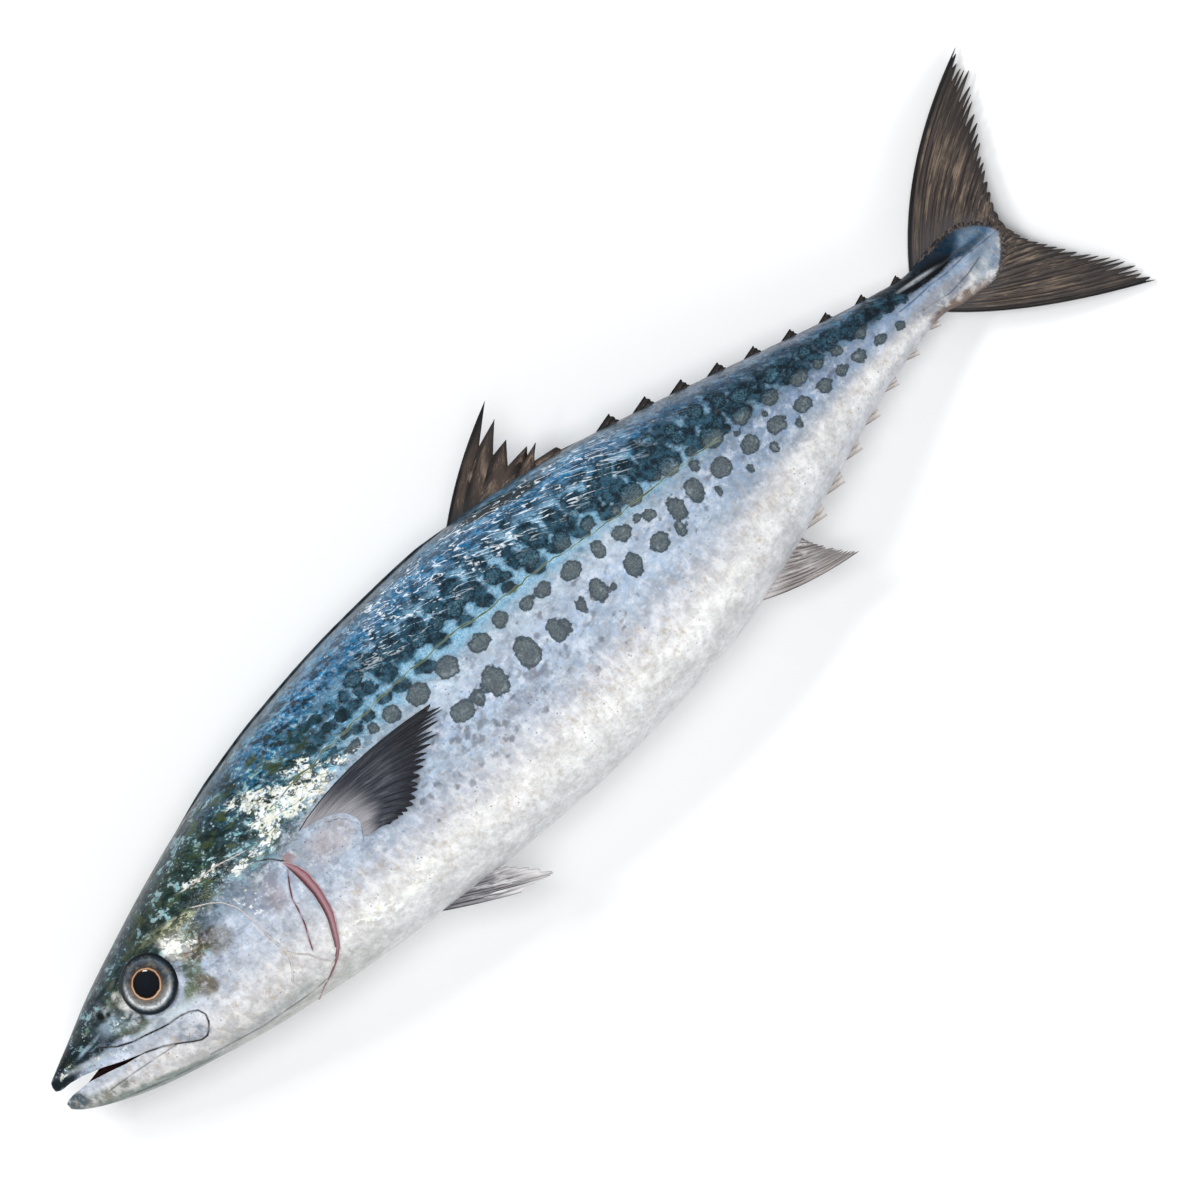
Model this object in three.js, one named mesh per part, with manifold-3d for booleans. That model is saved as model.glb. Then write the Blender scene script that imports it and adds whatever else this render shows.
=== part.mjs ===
// A whole raw spotted mackerel, lying on its right side with its left side up.
// Millimetres. While it is shaped, X runs from the snout (0) to the tail, Y points to the fish's back and
// Z up, to its left side. The finished fish is then centred over the origin, standing on Z = 0.
import * as THREE from 'three';
import { mergeVertices } from 'three/addons/utils/BufferGeometryUtils.js';
import Module from 'manifold-3d';

const wasm = await Module();
wasm.setup();

// Driving dimensions
const FORK_LENGTH = 550; // snout to the notch of the tail
const TAIL_TIP_X = FORK_LENGTH + 40; // end of the upper tail lobe
const TAIL_ROOT_END = FORK_LENGTH + 2; // where the fleshy tail root runs out
const REST_HEIGHT = 37.5; // middle plane above the table at the shoulder
const HEAD_DROP = 6; // how far the snout sinks below that plane
const HEAD_DROP_FROM = 150;
const TAIL_DROP = 35; // how far the tail tips sink below it
const TAIL_DROP_FROM = 300;
const SECTION_SIDES = 32;
const BACK_POWER = 1.9; // superellipse powers of the section above and below its widest line
const BELLY_POWER = 2.1;

// The outline of the body at named places: back and belly height, half width.
const LANDMARKS = [
  { at: 'nose', x: -1.3, back: -2, belly: -12.8, half: 0.9 },
  { at: 'jaw tips', x: 0, back: 0.8, belly: -14.4, half: 1.9 },
  { at: 'lips', x: 3.5, back: 2.6, belly: -17.4, half: 3.2 },
  { at: 'mouth', x: 17.3, back: 9.1, belly: -25, half: 8.2 },
  { at: 'nostril', x: 36, back: 18, belly: -32.5, half: 14.8 },
  { at: 'eye', x: 60.8, back: 27.8, belly: -39.2, half: 21.5 },
  { at: 'cheek', x: 86.3, back: 37.1, belly: -45.3, half: 27 },
  { at: 'nape', x: 112, back: 45.3, belly: -49.6, half: 31 },
  { at: 'gill opening', x: 138, back: 52.2, belly: -53.5, half: 34.2 },
  { at: 'shoulder', x: 172.5, back: 59.1, belly: -56.9, half: 37.2 },
  { at: 'girth', x: 225, back: 64.7, belly: -60.3, half: 39 },
  { at: 'deepest', x: 265, back: 66, belly: -61.2, half: 38.9 },
  { at: 'raised fin', x: 293, back: 64.7, belly: -60, half: 38 },
  { at: 'vent', x: 345, back: 56.5, belly: -54.6, half: 33.4 },
  { at: 'first finlet', x: 380, back: 47.8, belly: -46.4, half: 28.4 },
  { at: 'rear flank', x: 431, back: 33.2, belly: -30.2, half: 19.6 },
  { at: 'last spots', x: 466, back: 22.9, belly: -18.6, half: 13.4 },
  { at: 'tail wrist', x: 492, back: 16.3, belly: -12.6, half: 9.2 },
  { at: 'thinnest', x: 508, back: 13.4, belly: -10.2, half: 6.8 },
  { at: 'tail root', x: 519, back: 15.8, belly: -13, half: 5.6 },
  { at: 'root lobes', x: 535, back: 17.2, belly: -14.6, half: 3.8 },
  { at: 'root end', x: 546, back: 13.6, belly: -10.2, half: 2 },
  { at: 'root edge', x: TAIL_ROOT_END, back: 6, belly: -3, half: 0.7 },
];

// Head details
const EYE = { x: 60.8, y: 4.5, radius: 13.1, bulge: 3.2, depth: 4.2, gap: 0.3 };
const MOUTH_THROUGH_X = 21; // in front of this the mouth is open from side to side
const MOUTH_FLOOR_HALF = 3.6; // behind it the floor of the mouth fills the middle
const MOUTH_UPPER = [[-9, -4.1], [6.5, -4.8], [13, -6.2], [21.6, -9.1], [30.2, -12.9], [39.7, -16.5]];
const MOUTH_LOWER = [[30.2, -14.4], [21.6, -11.9], [13, -9.9], [4.3, -9.3], [-9, -10.2]];
const JAW_PLATE = [
  [27, -3.6], [36.6, -8.6], [49.6, -13.4], [62.5, -14.7], [68, -17.4], [70.2, -22.4], [67.4, -27],
  [62.8, -29.2], [55, -25], [43, -17.5], [32, -12], [24, -8],
];
const JAW_PLATE_RAISE = 0.7;
const GILL_COVER = [
  [104, 19.5], [120, 19.8], [130, 15], [138.5, 7], [140, 2.2], [138.9, -17], [138, -22.4], [135.8, -28],
  [131.5, -35.4], [126.5, -41.5], [119, -45.5], [108, -45], [99, -32], [95, -10], [97, 8],
];
const GILL_COVER_RAISE = 1.5;
const GILL_COVER_FADE_X = 108; // in front of this the cover runs into the cheek
const GILL_SLIT_BACK = [
  [141.6, 2.6], [144.3, -4.3], [144.5, -11], [143.2, -19.4], [141.4, -26], [138, -32.3],
  [134.5, -36.7], [130.7, -41], [125, -45.3], [119, -47.4],
];
const GILL_SLIT_FRONT = [[125, -42], [131.5, -34.4], [135.6, -27], [137.6, -20], [137.8, -8]];
const GILL_SLIT_DEPTH = 1.6;

// Fins
const FOLDED_FIN = { from: 108, to: 277, spines: 15, height: 1.5, sunk: 2 };
const RAISED_FIN_SPINES = [ // root on the back, tip, notch behind the tip, one row a spine
  { root: 284.6, tip: [336, 94.5], notch: [320.5, 81.2] },
  { root: 298, tip: [333, 85.4], notch: [322.2, 74.2] },
  { root: 309, tip: [331.2, 75.6], notch: [324.4, 66.8] },
  { root: 320, tip: [336, 67.7], notch: [333.6, 64.6] },
  { root: 329, tip: [340, 66.2], notch: [333.6, 61] },
  { root: 339, tip: [345.4, 59], notch: [346.6, 56.8] },
  { root: 350, tip: [356, 53.9], notch: [356.4, 53] },
];
const BACK_FINLETS = { count: 9, firstX: 359.5, pitch: 17.2, length: 14, height: 5.6, shrink: 0.055 };
const BELLY_FINLETS = { count: 7, firstX: 399, pitch: 16.3, length: 15.5, height: 5, shrink: 0.075 };
const FINLET_SUNK = 1.6;
const SIDE_FIN_HINGE = [152, 6]; // where a side fin turns
const UNDER_FIN_TURN = 0.42; // the right one is folded lower by this angle, clear of the flat it lies on

// Small helpers
const lerp = (a, b, t) => a + (b - a) * t;
const clamp = (v, low, high) => Math.min(high, Math.max(low, v));
const smooth = (v) => v * v * (3 - 2 * v);
const fade = (v, from, to) => smooth(clamp((v - from) / (to - from), 0, 1));
const spread = (from, to, steps) => Array.from({ length: steps + 1 }, (_, i) => lerp(from, to, i / steps));

// A smooth curve y(x) through named places that doesn't overshoot between them.
function profile(key) {
  const xs = LANDMARKS.map((mark) => mark.x);
  const ys = LANDMARKS.map((mark) => mark[key]);
  const rise = xs.slice(1).map((x, i) => (ys[i + 1] - ys[i]) / (x - xs[i]));
  const slope = xs.map((_, i) => {
    if (i === 0) return rise[0];
    if (i === xs.length - 1) return rise[i - 1];
    if (rise[i - 1] * rise[i] <= 0) return 0;
    return (2 * rise[i - 1] * rise[i]) / (rise[i - 1] + rise[i]);
  });
  return (x) => {
    const at = clamp(x, xs[0], xs[xs.length - 1]);
    let i = 0;
    while (i < xs.length - 2 && at > xs[i + 1]) i += 1;
    const step = xs[i + 1] - xs[i];
    const t = (at - xs[i]) / step;
    const bulge = t * (1 - t) * step;
    return lerp(ys[i], ys[i + 1], smooth(t)) + bulge * ((1 - t) * slope[i] - t * slope[i + 1]);
  };
}

const backAt = profile('back');
const bellyAt = profile('belly');
const halfWidthAt = profile('half');
const widestAt = (x) => (bellyAt(x) + backAt(x)) / 2;

// Height of the fish's middle plane above the table: it sags a little to the snout and more to the tail.
function planeAt(x) {
  const head = clamp((HEAD_DROP_FROM - x) / HEAD_DROP_FROM, 0, 1.1);
  const tail = clamp((x - TAIL_DROP_FROM) / (TAIL_TIP_X - TAIL_DROP_FROM), 0, 1.1);
  return REST_HEIGHT - HEAD_DROP * head ** 2 - TAIL_DROP * tail ** 2;
}

// Distance of the skin from the middle plane, where the fish is seen from the side at (x, y).
function flankAt(x, y) {
  const middle = widestAt(x);
  const up = y > middle;
  const reach = up ? backAt(x) - middle : middle - bellyAt(x);
  const power = up ? BACK_POWER : BELLY_POWER;
  const share = clamp(Math.abs(y - middle) / reach, 0, 1);
  return halfWidthAt(x) * (1 - share ** power) ** (1 / power);
}

// The skin's outward direction there, on the left side (+1) or the right side (-1).
function flankNormal(x, y, side) {
  const step = 2;
  const slopeX = (flankAt(x + step, y) - flankAt(x - step, y)) / (2 * step);
  const slopeY = (flankAt(x, y + step) - flankAt(x, y - step)) / (2 * step);
  return new THREE.Vector3(-slopeX, -slopeY, side).normalize();
}

// Geometry from loose triangles given as point triples
function geometryFrom(points, triangles) {
  const geometry = new THREE.BufferGeometry();
  geometry.setAttribute('position', new THREE.Float32BufferAttribute(points.flat(), 3));
  geometry.setIndex(triangles.flat());
  return geometry;
}

function solidFrom(geometry) {
  const bare = geometry.clone();
  bare.deleteAttribute('normal');
  bare.deleteAttribute('uv');
  const merged = mergeVertices(bare, 1e-4);
  return new wasm.Manifold(new wasm.Mesh({
    numProp: 3,
    vertProperties: new Float32Array(merged.attributes.position.array),
    triVerts: new Uint32Array(merged.index.array),
  }));
}

function geometryOf(solid) {
  const mesh = solid.getMesh();
  const geometry = new THREE.BufferGeometry();
  geometry.setAttribute('position', new THREE.BufferAttribute(new Float32Array(mesh.vertProperties), 3));
  geometry.setIndex(new THREE.BufferAttribute(new Uint32Array(mesh.triVerts), 1));
  return geometry;
}

// Joins two equal rings of point numbers with quads, facing out when the rings run anticlockwise as seen
// from the second.
function band(first, second) {
  return first.flatMap((a, i) => {
    const b = first[(i + 1) % first.length];
    const c = second[(i + 1) % second.length];
    const d = second[i];
    return [[a, b, c], [a, c, d]];
  });
}

const fan = (ring, centre) => ring.map((a, i) => [a, ring[(i + 1) % ring.length], centre]);

// Trunk and head, one loft of superellipse sections. The right flank is pressed flat where it lies on the
// table.
function bodySolid() {
  const nose = spread(-1.3, 3.5, 3);
  const head = spread(8, 156, 19);
  const trunk = spread(168, 492, 23);
  const tailRoot = spread(498, TAIL_ROOT_END, 9);
  const stations = [...nose, ...head, ...trunk, ...tailRoot];
  const points = [];
  const rings = stations.map((x) => Array.from({ length: SECTION_SIDES }, (_, k) => {
    points.push(sectionPoint(x, (2 * Math.PI * k) / SECTION_SIDES));
    return points.length - 1;
  }));
  const triangles = rings.slice(1).flatMap((ring, i) => band(ring, rings[i]));
  const caps = [[rings[0], stations[0], -1], [rings[rings.length - 1], TAIL_ROOT_END, 1]];
  caps.forEach(([ring, x, facing]) => {
    points.push([x, widestAt(x), planeAt(x)]);
    const centre = points.length - 1;
    triangles.push(...fan(facing > 0 ? [...ring].reverse() : ring, centre));
  });
  return solidFrom(geometryFrom(points, triangles));
}

// One point of a section: angle 0 on the left side, a quarter turn on at the back.
function sectionPoint(x, angle) {
  const middle = widestAt(x);
  const up = Math.sin(angle) >= 0;
  const reach = up ? backAt(x) - middle : middle - bellyAt(x);
  const power = 2 / (up ? BACK_POWER : BELLY_POWER);
  const y = middle + Math.sign(Math.sin(angle)) * reach * Math.abs(Math.sin(angle)) ** power;
  const out = Math.abs(Math.cos(angle)) ** power * (halfWidthAt(x) + keelAt(x, angle));
  return [x, y, Math.max(0, planeAt(x) + Math.sign(Math.cos(angle)) * out)];
}

// The keel along each side of the tail wrist
function keelAt(x, angle) {
  const KEEL_HEIGHT = 2.2;
  const along = fade(x, 492, 512) * (1 - fade(x, 530, 545));
  return KEEL_HEIGHT * along * Math.abs(Math.cos(angle)) ** 40;
}

// A slab on the flank inside an outline: its outer face stands off the skin, its inner face lies below it.
function flankPatch(outline, side, outer, inner, rings) {
  const mean = (axis) => outline.reduce((sum, p) => sum + p[axis], 0) / outline.length;
  const centre = [mean(0), mean(1)];
  const points = [];
  const layer = (offset) => {
    const at = (x, y, share) => {
      points.push([x, y, planeAt(x) + side * (flankAt(x, y) + offset(x, y, share))]);
      return points.length - 1;
    };
    const hoops = Array.from({ length: rings }, (_, r) => {
      const share = 1 - r / rings;
      return outline.map(([x, y]) => at(lerp(centre[0], x, share), lerp(centre[1], y, share), share));
    });
    return { hoops, centre: at(centre[0], centre[1], 0) };
  };
  const top = layer(outer);
  const bottom = layer(inner);
  const face = (one, flip) => {
    const found = [
      ...one.hoops.slice(1).flatMap((hoop, i) => band(one.hoops[i], hoop)),
      ...fan(one.hoops[rings - 1], one.centre),
    ];
    return flip ? found.map(([a, b, c]) => [a, c, b]) : found;
  };
  const area = THREE.ShapeUtils.area(outline.map(([x, y]) => new THREE.Vector2(x, y)));
  const outward = (area > 0) === (side > 0);
  const triangles = [
    ...face(top, !outward),
    ...face(bottom, outward),
    ...band(bottom.hoops[0], top.hoops[0]).map(([a, b, c]) => (outward ? [a, b, c] : [a, c, b])),
  ];
  return solidFrom(geometryFrom(points, triangles));
}

// Closed outline through hand-set corners, rounded by a spline
function rounded(corners, count) {
  const curve = new THREE.CatmullRomCurve3(corners.map(([x, y]) => new THREE.Vector3(x, y, 0)), true);
  return curve.getSpacedPoints(count).slice(0, count).map((p) => [p.x, p.y]);
}

function gillCover(side) {
  const outline = rounded(GILL_COVER, 28);
  const raise = (x, y, share) => {
    const rim = share > 0.99 ? 0.5 : 1;
    return lerp(-1.2, GILL_COVER_RAISE * rim, fade(x, GILL_COVER_FADE_X - 10, GILL_COVER_FADE_X + 22));
  };
  return flankPatch(outline, side, raise, () => -3.5, 3);
}

function gillSlit(side) {
  const outline = [...GILL_SLIT_BACK, ...GILL_SLIT_FRONT];
  return flankPatch(outline, side, () => 6, () => -GILL_SLIT_DEPTH, 1);
}

function jawPlate(side) {
  const raise = (x, y, share) => JAW_PLATE_RAISE * (share > 0.99 ? 0.4 : 1);
  return flankPatch(rounded(JAW_PLATE, 20), side, raise, () => -2.5, 2);
}

// The gape: an outline pushed through the head, which behind the front teeth leaves the floor of the mouth.
function mouthCut() {
  const shape = new THREE.Shape([...MOUTH_UPPER, ...MOUTH_LOWER].map(([x, y]) => new THREE.Vector2(x, y)));
  const reach = 60;
  const gape = solidFrom(new THREE.ExtrudeGeometry(shape, { depth: reach, bevelEnabled: false })
    .translate(0, 0, planeAt(0) - reach / 2));
  const floor = new THREE.BoxGeometry(40, 30, 2 * MOUTH_FLOOR_HALF);
  return gape.subtract(solidFrom(floor.translate(MOUTH_THROUGH_X + 20, -12, planeAt(30))));
}

// An eye: a shallow drum with a domed front, turned to face along +Y of its own and then out of the head.
function eyeGeometry(side, grow) {
  const radius = EYE.radius + grow;
  const back = -EYE.depth - grow;
  const steps = 5;
  const dome = Array.from({ length: steps + 1 }, (_, i) => {
    const turn = (Math.PI / 2) * (i / steps);
    return new THREE.Vector2(radius * Math.cos(turn), (EYE.bulge + 4 * grow) * Math.sin(turn));
  });
  dome[steps].x = 0;
  const outline = [new THREE.Vector2(0, back), new THREE.Vector2(radius * 0.86, back), ...dome];
  const geometry = new THREE.LatheGeometry(outline, 24);
  const facing = new THREE.Quaternion().setFromUnitVectors(
    new THREE.Vector3(0, 1, 0), flankNormal(EYE.x, EYE.y, side),
  );
  geometry.applyQuaternion(facing);
  return geometry.translate(EYE.x, EYE.y, planeAt(EYE.x) + side * flankAt(EYE.x, EYE.y));
}

// A fin: a thin sheet of rays that fan out from a root line. Columns alternate between a ray and the skin
// between two rays, which is thinner and ends a little earlier. reach(u) gives the root, bend and tip of a
// column.
function finSolid({ rays, rows, reach, middle, root, edge, fray = 0.06, lead = 1 }) {
  const columns = 2 * rays;
  const points = [];
  const sheets = [1, -1].map((face) => Array.from({ length: columns + 1 }, (_, c) => {
    const u = c / columns;
    const skin = c % 2 === 1;
    const [start, bend, tip] = reach(u, skin);
    return Array.from({ length: rows + 1 }, (__, r) => {
      const v = (r / rows) * (skin ? 1 - fray : 1);
      const x = (1 - v) ** 2 * start[0] + 2 * v * (1 - v) * bend[0] + v ** 2 * tip[0];
      const y = (1 - v) ** 2 * start[1] + 2 * v * (1 - v) * bend[1] + v ** 2 * tip[1];
      const first = c === 0 ? lead : 1;
      const thick = lerp(root, edge, v) * (skin ? 0.55 : 1) * first;
      points.push([x, y, middle(x, y, v, u) + face * thick]);
      return points.length - 1;
    });
  }));
  const [upper, lower] = sheets;
  const triangles = [];
  const quad = (a, b, c, d) => triangles.push([a, b, c], [a, c, d]);
  for (let c = 0; c < columns; c += 1) {
    for (let r = 0; r < rows; r += 1) {
      quad(upper[c][r], upper[c][r + 1], upper[c + 1][r + 1], upper[c + 1][r]);
      quad(lower[c][r], lower[c + 1][r], lower[c + 1][r + 1], lower[c][r + 1]);
    }
    quad(upper[c][0], upper[c + 1][0], lower[c + 1][0], lower[c][0]);
    quad(upper[c][rows], lower[c][rows], lower[c + 1][rows], upper[c + 1][rows]);
  }
  for (let r = 0; r < rows; r += 1) {
    quad(upper[0][r], lower[0][r], lower[0][r + 1], upper[0][r + 1]);
    quad(upper[columns][r], upper[columns][r + 1], lower[columns][r + 1], lower[columns][r]);
  }
  const solid = solidFrom(geometryFrom(points, triangles));
  if (solid.volume() > 0) return solid;
  return solidFrom(geometryFrom(points, triangles.map(([a, b, c]) => [a, c, b])));
}

// A smooth path through points, by its share of the way from 0 to 1
const curveThrough = (points) => {
  const places = points.map(([x, y]) => new THREE.Vector3(x, y, 0));
  const curve = new THREE.CatmullRomCurve3(places, false, 'catmullrom', 0.5);
  return (u) => {
    const p = curve.getPointAt(clamp(u, 0, 1));
    return [p.x, p.y];
  };
};

const onPlane = (x) => planeAt(x);

// The forked tail: its root, bends and tips are set from the notch.
function tailFin() {
  const fromNotch = (points) => curveThrough(points.map(([x, y]) => [FORK_LENGTH + x, y]));
  const root = fromNotch([
    [-42, 11], [-26, 13.5], [-9, 11], [-2, 4], [-2, -1], [-9, -8], [-26, -11], [-42, -8],
  ]);
  const bend = fromNotch([
    [-14, 50], [-7, 40], [1, 24], [2, 10], [2, 3], [2, -4], [1, -16], [-5, -29], [-14, -36],
  ]);
  const tips = fromNotch([
    [40, 72.4], [29, 58], [18.5, 39.5], [10, 23], [5, 10], [4, 2], [6, -7], [13, -19.5],
    [23.5, -36.5], [32, -51.5], [37, -60.4],
  ]);
  return finSolid({
    rays: 26, rows: 5, root: 1.7, edge: 0.35, fray: 0.07, lead: 1.25, middle: onPlane,
    reach: (u) => [root(u), bend(u), tips(u)],
  });
}

function raisedFin() {
  const spines = RAISED_FIN_SPINES;
  return finSolid({
    rays: spines.length - 1, rows: 4, root: 1.1, edge: 0.35, fray: 0,
    middle: (x, y, v) => planeAt(x) - 2.5 * v,
    reach: (u, skin) => {
      const place = u * (spines.length - 1);
      const spine = spines[Math.floor(place)];
      const next = spines[Math.min(Math.ceil(place), spines.length - 1)];
      const x = lerp(spine.root, next.root, place % 1);
      const start = [x, backAt(x) - 2.5];
      const tip = skin ? spine.notch : spine.tip;
      return [start, [lerp(x, tip[0], 0.42), lerp(start[1], tip[1], 0.58)], tip];
    },
  });
}

// The spiny fin folded into its groove along the back
function foldedFin() {
  const { from, to, spines, height, sunk } = FOLDED_FIN;
  return finSolid({
    rays: spines, rows: 1, root: 1, edge: 0.5, fray: 0.12, middle: onPlane,
    reach: (u) => {
      const x = lerp(from, to, u);
      const lean = (to - from) / spines / 2;
      const rise = height * Math.min(1, u * 8, (1 - u) * 8);
      const tip = [x + lean, backAt(x + lean) + rise];
      return [[x, backAt(x) - sunk], tip, tip];
    },
  });
}

// One finlet on the back (edge +1) or the belly (edge -1): a small hooked triangle leaning to the tail
function finlet(set, i, edge) {
  const scale = 1 - set.shrink * i;
  const x0 = set.firstX + set.pitch * i;
  const long = set.length * scale;
  const skinAt = edge > 0 ? backAt : bellyAt;
  return finSolid({
    rays: 2, rows: 2, root: 0.9, edge: 0.35, fray: 0.3, middle: onPlane,
    reach: (u) => {
      const x = x0 + long * 0.8 * u;
      const start = [x, skinAt(x) - edge * FINLET_SUNK];
      const tipX = x0 + long * (0.78 + 0.25 * u);
      const tip = [tipX, skinAt(tipX) + edge * set.height * scale * (1 - u) ** 0.8];
      return [start, [lerp(x, tipX, 0.6), lerp(start[1], tip[1], 0.75)], tip];
    },
  });
}

function analFin() {
  const root = curveThrough([[364, -48], [380, -43], [398, -38]]);
  const tips = curveThrough([[412.7, -61.8], [405, -54.5], [401, -47], [398.5, -42.5]]);
  const bend = curveThrough([[385, -58.5], [389, -50], [395, -44], [398, -40]]);
  return finSolid({
    rays: 8, rows: 3, root: 1, edge: 0.35, fray: 0.08, middle: (x, y, v) => planeAt(x) - 2 * v,
    reach: (u) => [root(u), bend(u), tips(u)],
  });
}

function pelvicFin(side) {
  const root = curveThrough([[170, -53.5], [180, -54], [194, -54.5]]);
  const tips = curveThrough([[205.5, -73.3], [223.2, -77], [217, -70], [209, -61.5], [204.5, -59.5]]);
  const SPLAY = 3.5;
  return finSolid({
    rays: 6, rows: 3, root: 1, edge: 0.35, fray: 0.1,
    middle: (x, y, v) => planeAt(x) + side * (SPLAY + SPLAY * v) - v,
    reach: (u) => {
      const start = root(u);
      const tip = tips(u);
      return [start, [lerp(start[0], tip[0], 0.5), lerp(start[1], tip[1], 0.56)], tip];
    },
  });
}

// A side fin that lies back along the flank, lifting off it to the tips. The right one is folded lower and
// stays above the table.
function pectoralFin(side) {
  const root = curveThrough([[150, 9.5], [163, 7], [171, 3], [174, -3], [171.5, -10.5]]);
  const bend = curveThrough([[184, 20], [192, 12], [197, 3], [193, -6], [184, -12.5]]);
  const tips = curveThrough([
    [230, 13.2], [231.5, 9.6], [227, 7.8], [222.8, 4.5], [214.4, -0.8], [208, -5], [201.5, -10],
    [194.5, -14.2], [184, -13.6],
  ]);
  const HALF = 0.5;
  const turn = side > 0 ? 0 : UNDER_FIN_TURN;
  const folded = ([x, y]) => {
    const [hx, hy] = SIDE_FIN_HINGE;
    const along = (x - hx) * Math.cos(turn) + (y - hy) * Math.sin(turn);
    const across = (y - hy) * Math.cos(turn) - (x - hx) * Math.sin(turn);
    return [hx + along, hy + across];
  };
  return finSolid({
    rays: 11, rows: 4, root: 0.75, edge: 0.35, fray: 0.08,
    middle: (x, y, v) => {
      const lift = HALF + 2.2 * v ** 1.5;
      return Math.max(HALF + 0.35, planeAt(x) + side * (flankAt(x, y) + lift));
    },
    reach: (u) => [folded(root(u)), folded(bend(u)), folded(tips(u))],
  });
}

function fishSolid() {
  const sides = [1, -1];
  const grown = [
    ...sides.map(gillCover), ...sides.map(jawPlate), ...sides.map(pectoralFin), ...sides.map(pelvicFin),
    tailFin(), raisedFin(), foldedFin(), analFin(),
    ...Array.from({ length: BACK_FINLETS.count }, (_, i) => finlet(BACK_FINLETS, i, 1)),
    ...Array.from({ length: BELLY_FINLETS.count }, (_, i) => finlet(BELLY_FINLETS, i, -1)),
  ];
  const sockets = sides.map((side) => solidFrom(eyeGeometry(side, EYE.gap)));
  const cuts = [mouthCut(), ...sides.map(gillSlit), ...sockets];
  const whole = grown.reduce((all, one) => all.add(one), bodySolid());
  return cuts.reduce((all, one) => all.subtract(one), whole);
}

const skin = new THREE.MeshStandardMaterial({ color: 0x9fb2c4, roughness: 0.28, metalness: 0.15 });
const eye = new THREE.MeshStandardMaterial({ color: 0x14171c, roughness: 0.08, metalness: 0 });

function named(name, geometry, material) {
  const mesh = new THREE.Mesh(geometry, material);
  mesh.name = name;
  return mesh;
}

const fish = new THREE.Group();
fish.name = 'whole_fish';
fish.add(
  named('fish', geometryOf(fishSolid()), skin),
  named('eye_left', geometryOf(solidFrom(eyeGeometry(1, 0))), eye),
  named('eye_right', geometryOf(solidFrom(eyeGeometry(-1, 0))), eye),
);
const bounds = new THREE.Box3().setFromObject(fish);
const centre = bounds.getCenter(new THREE.Vector3());
fish.position.set(-centre.x, -centre.y, -bounds.min.z);

export default fish;
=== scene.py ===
# %% [markdown]
# # A whole raw spotted mackerel
# The fish lies on its right side and shows its left. A measured model of it, plain and faceted, comes in as
# a fixed frame. Every piece below is laid over that frame, and gets the form and finish of the real animal:
# a steel blue back, a silver flank with rows of dark spots, a white belly, dark fins and a wet eye.

# %% Load the frame
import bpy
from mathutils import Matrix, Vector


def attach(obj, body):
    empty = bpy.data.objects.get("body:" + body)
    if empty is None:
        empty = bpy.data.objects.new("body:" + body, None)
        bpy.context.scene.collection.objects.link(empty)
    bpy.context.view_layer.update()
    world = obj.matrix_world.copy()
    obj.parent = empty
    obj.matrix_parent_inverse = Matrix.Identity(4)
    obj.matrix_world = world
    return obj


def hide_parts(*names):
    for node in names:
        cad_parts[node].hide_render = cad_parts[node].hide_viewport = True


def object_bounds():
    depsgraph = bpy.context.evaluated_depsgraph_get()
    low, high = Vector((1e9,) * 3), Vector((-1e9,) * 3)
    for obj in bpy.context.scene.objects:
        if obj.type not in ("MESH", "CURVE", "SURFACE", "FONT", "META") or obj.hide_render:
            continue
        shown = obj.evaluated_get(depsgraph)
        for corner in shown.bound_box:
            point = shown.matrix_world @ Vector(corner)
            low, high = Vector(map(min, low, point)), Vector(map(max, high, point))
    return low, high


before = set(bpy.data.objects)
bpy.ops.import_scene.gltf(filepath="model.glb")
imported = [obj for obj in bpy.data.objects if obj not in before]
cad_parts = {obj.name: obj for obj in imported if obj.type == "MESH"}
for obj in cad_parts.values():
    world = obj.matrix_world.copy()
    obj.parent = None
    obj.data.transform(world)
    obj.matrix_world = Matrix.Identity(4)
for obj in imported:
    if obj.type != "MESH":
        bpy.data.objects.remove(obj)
plain_box = [list(corner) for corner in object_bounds()]
print("frame", [[round(v, 4) for v in corner] for corner in plain_box])

# %% Tools
import math
import bpy
import numpy as np
from mathutils import Vector

# %% [markdown]
# ## Drawing the fish in millimetres
# A fish is drawn from the side: x runs from the nose to the tail, y up to its back. The third number is how
# far the skin stands off the middle plane. Two places of the frame, the nose and the tip of the raised fin,
# tell where that drawing lies in the scene, so all pieces share one shift.

# %% From the drawing to the scene
MM = 0.001
NOSE_X = -1.3
RAISED_FIN_TOP = 94.5
SHIFT = np.array([plain_box[0][0] / MM - NOSE_X, plain_box[1][1] / MM - RAISED_FIN_TOP, 0.0])


def place(points):
    """Points of the drawing, in mm, as places in the scene, in metres."""
    return (np.asarray(points, float) + SHIFT) * MM


print("drawing starts at", place([0, 0, 0]).round(4))
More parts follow.
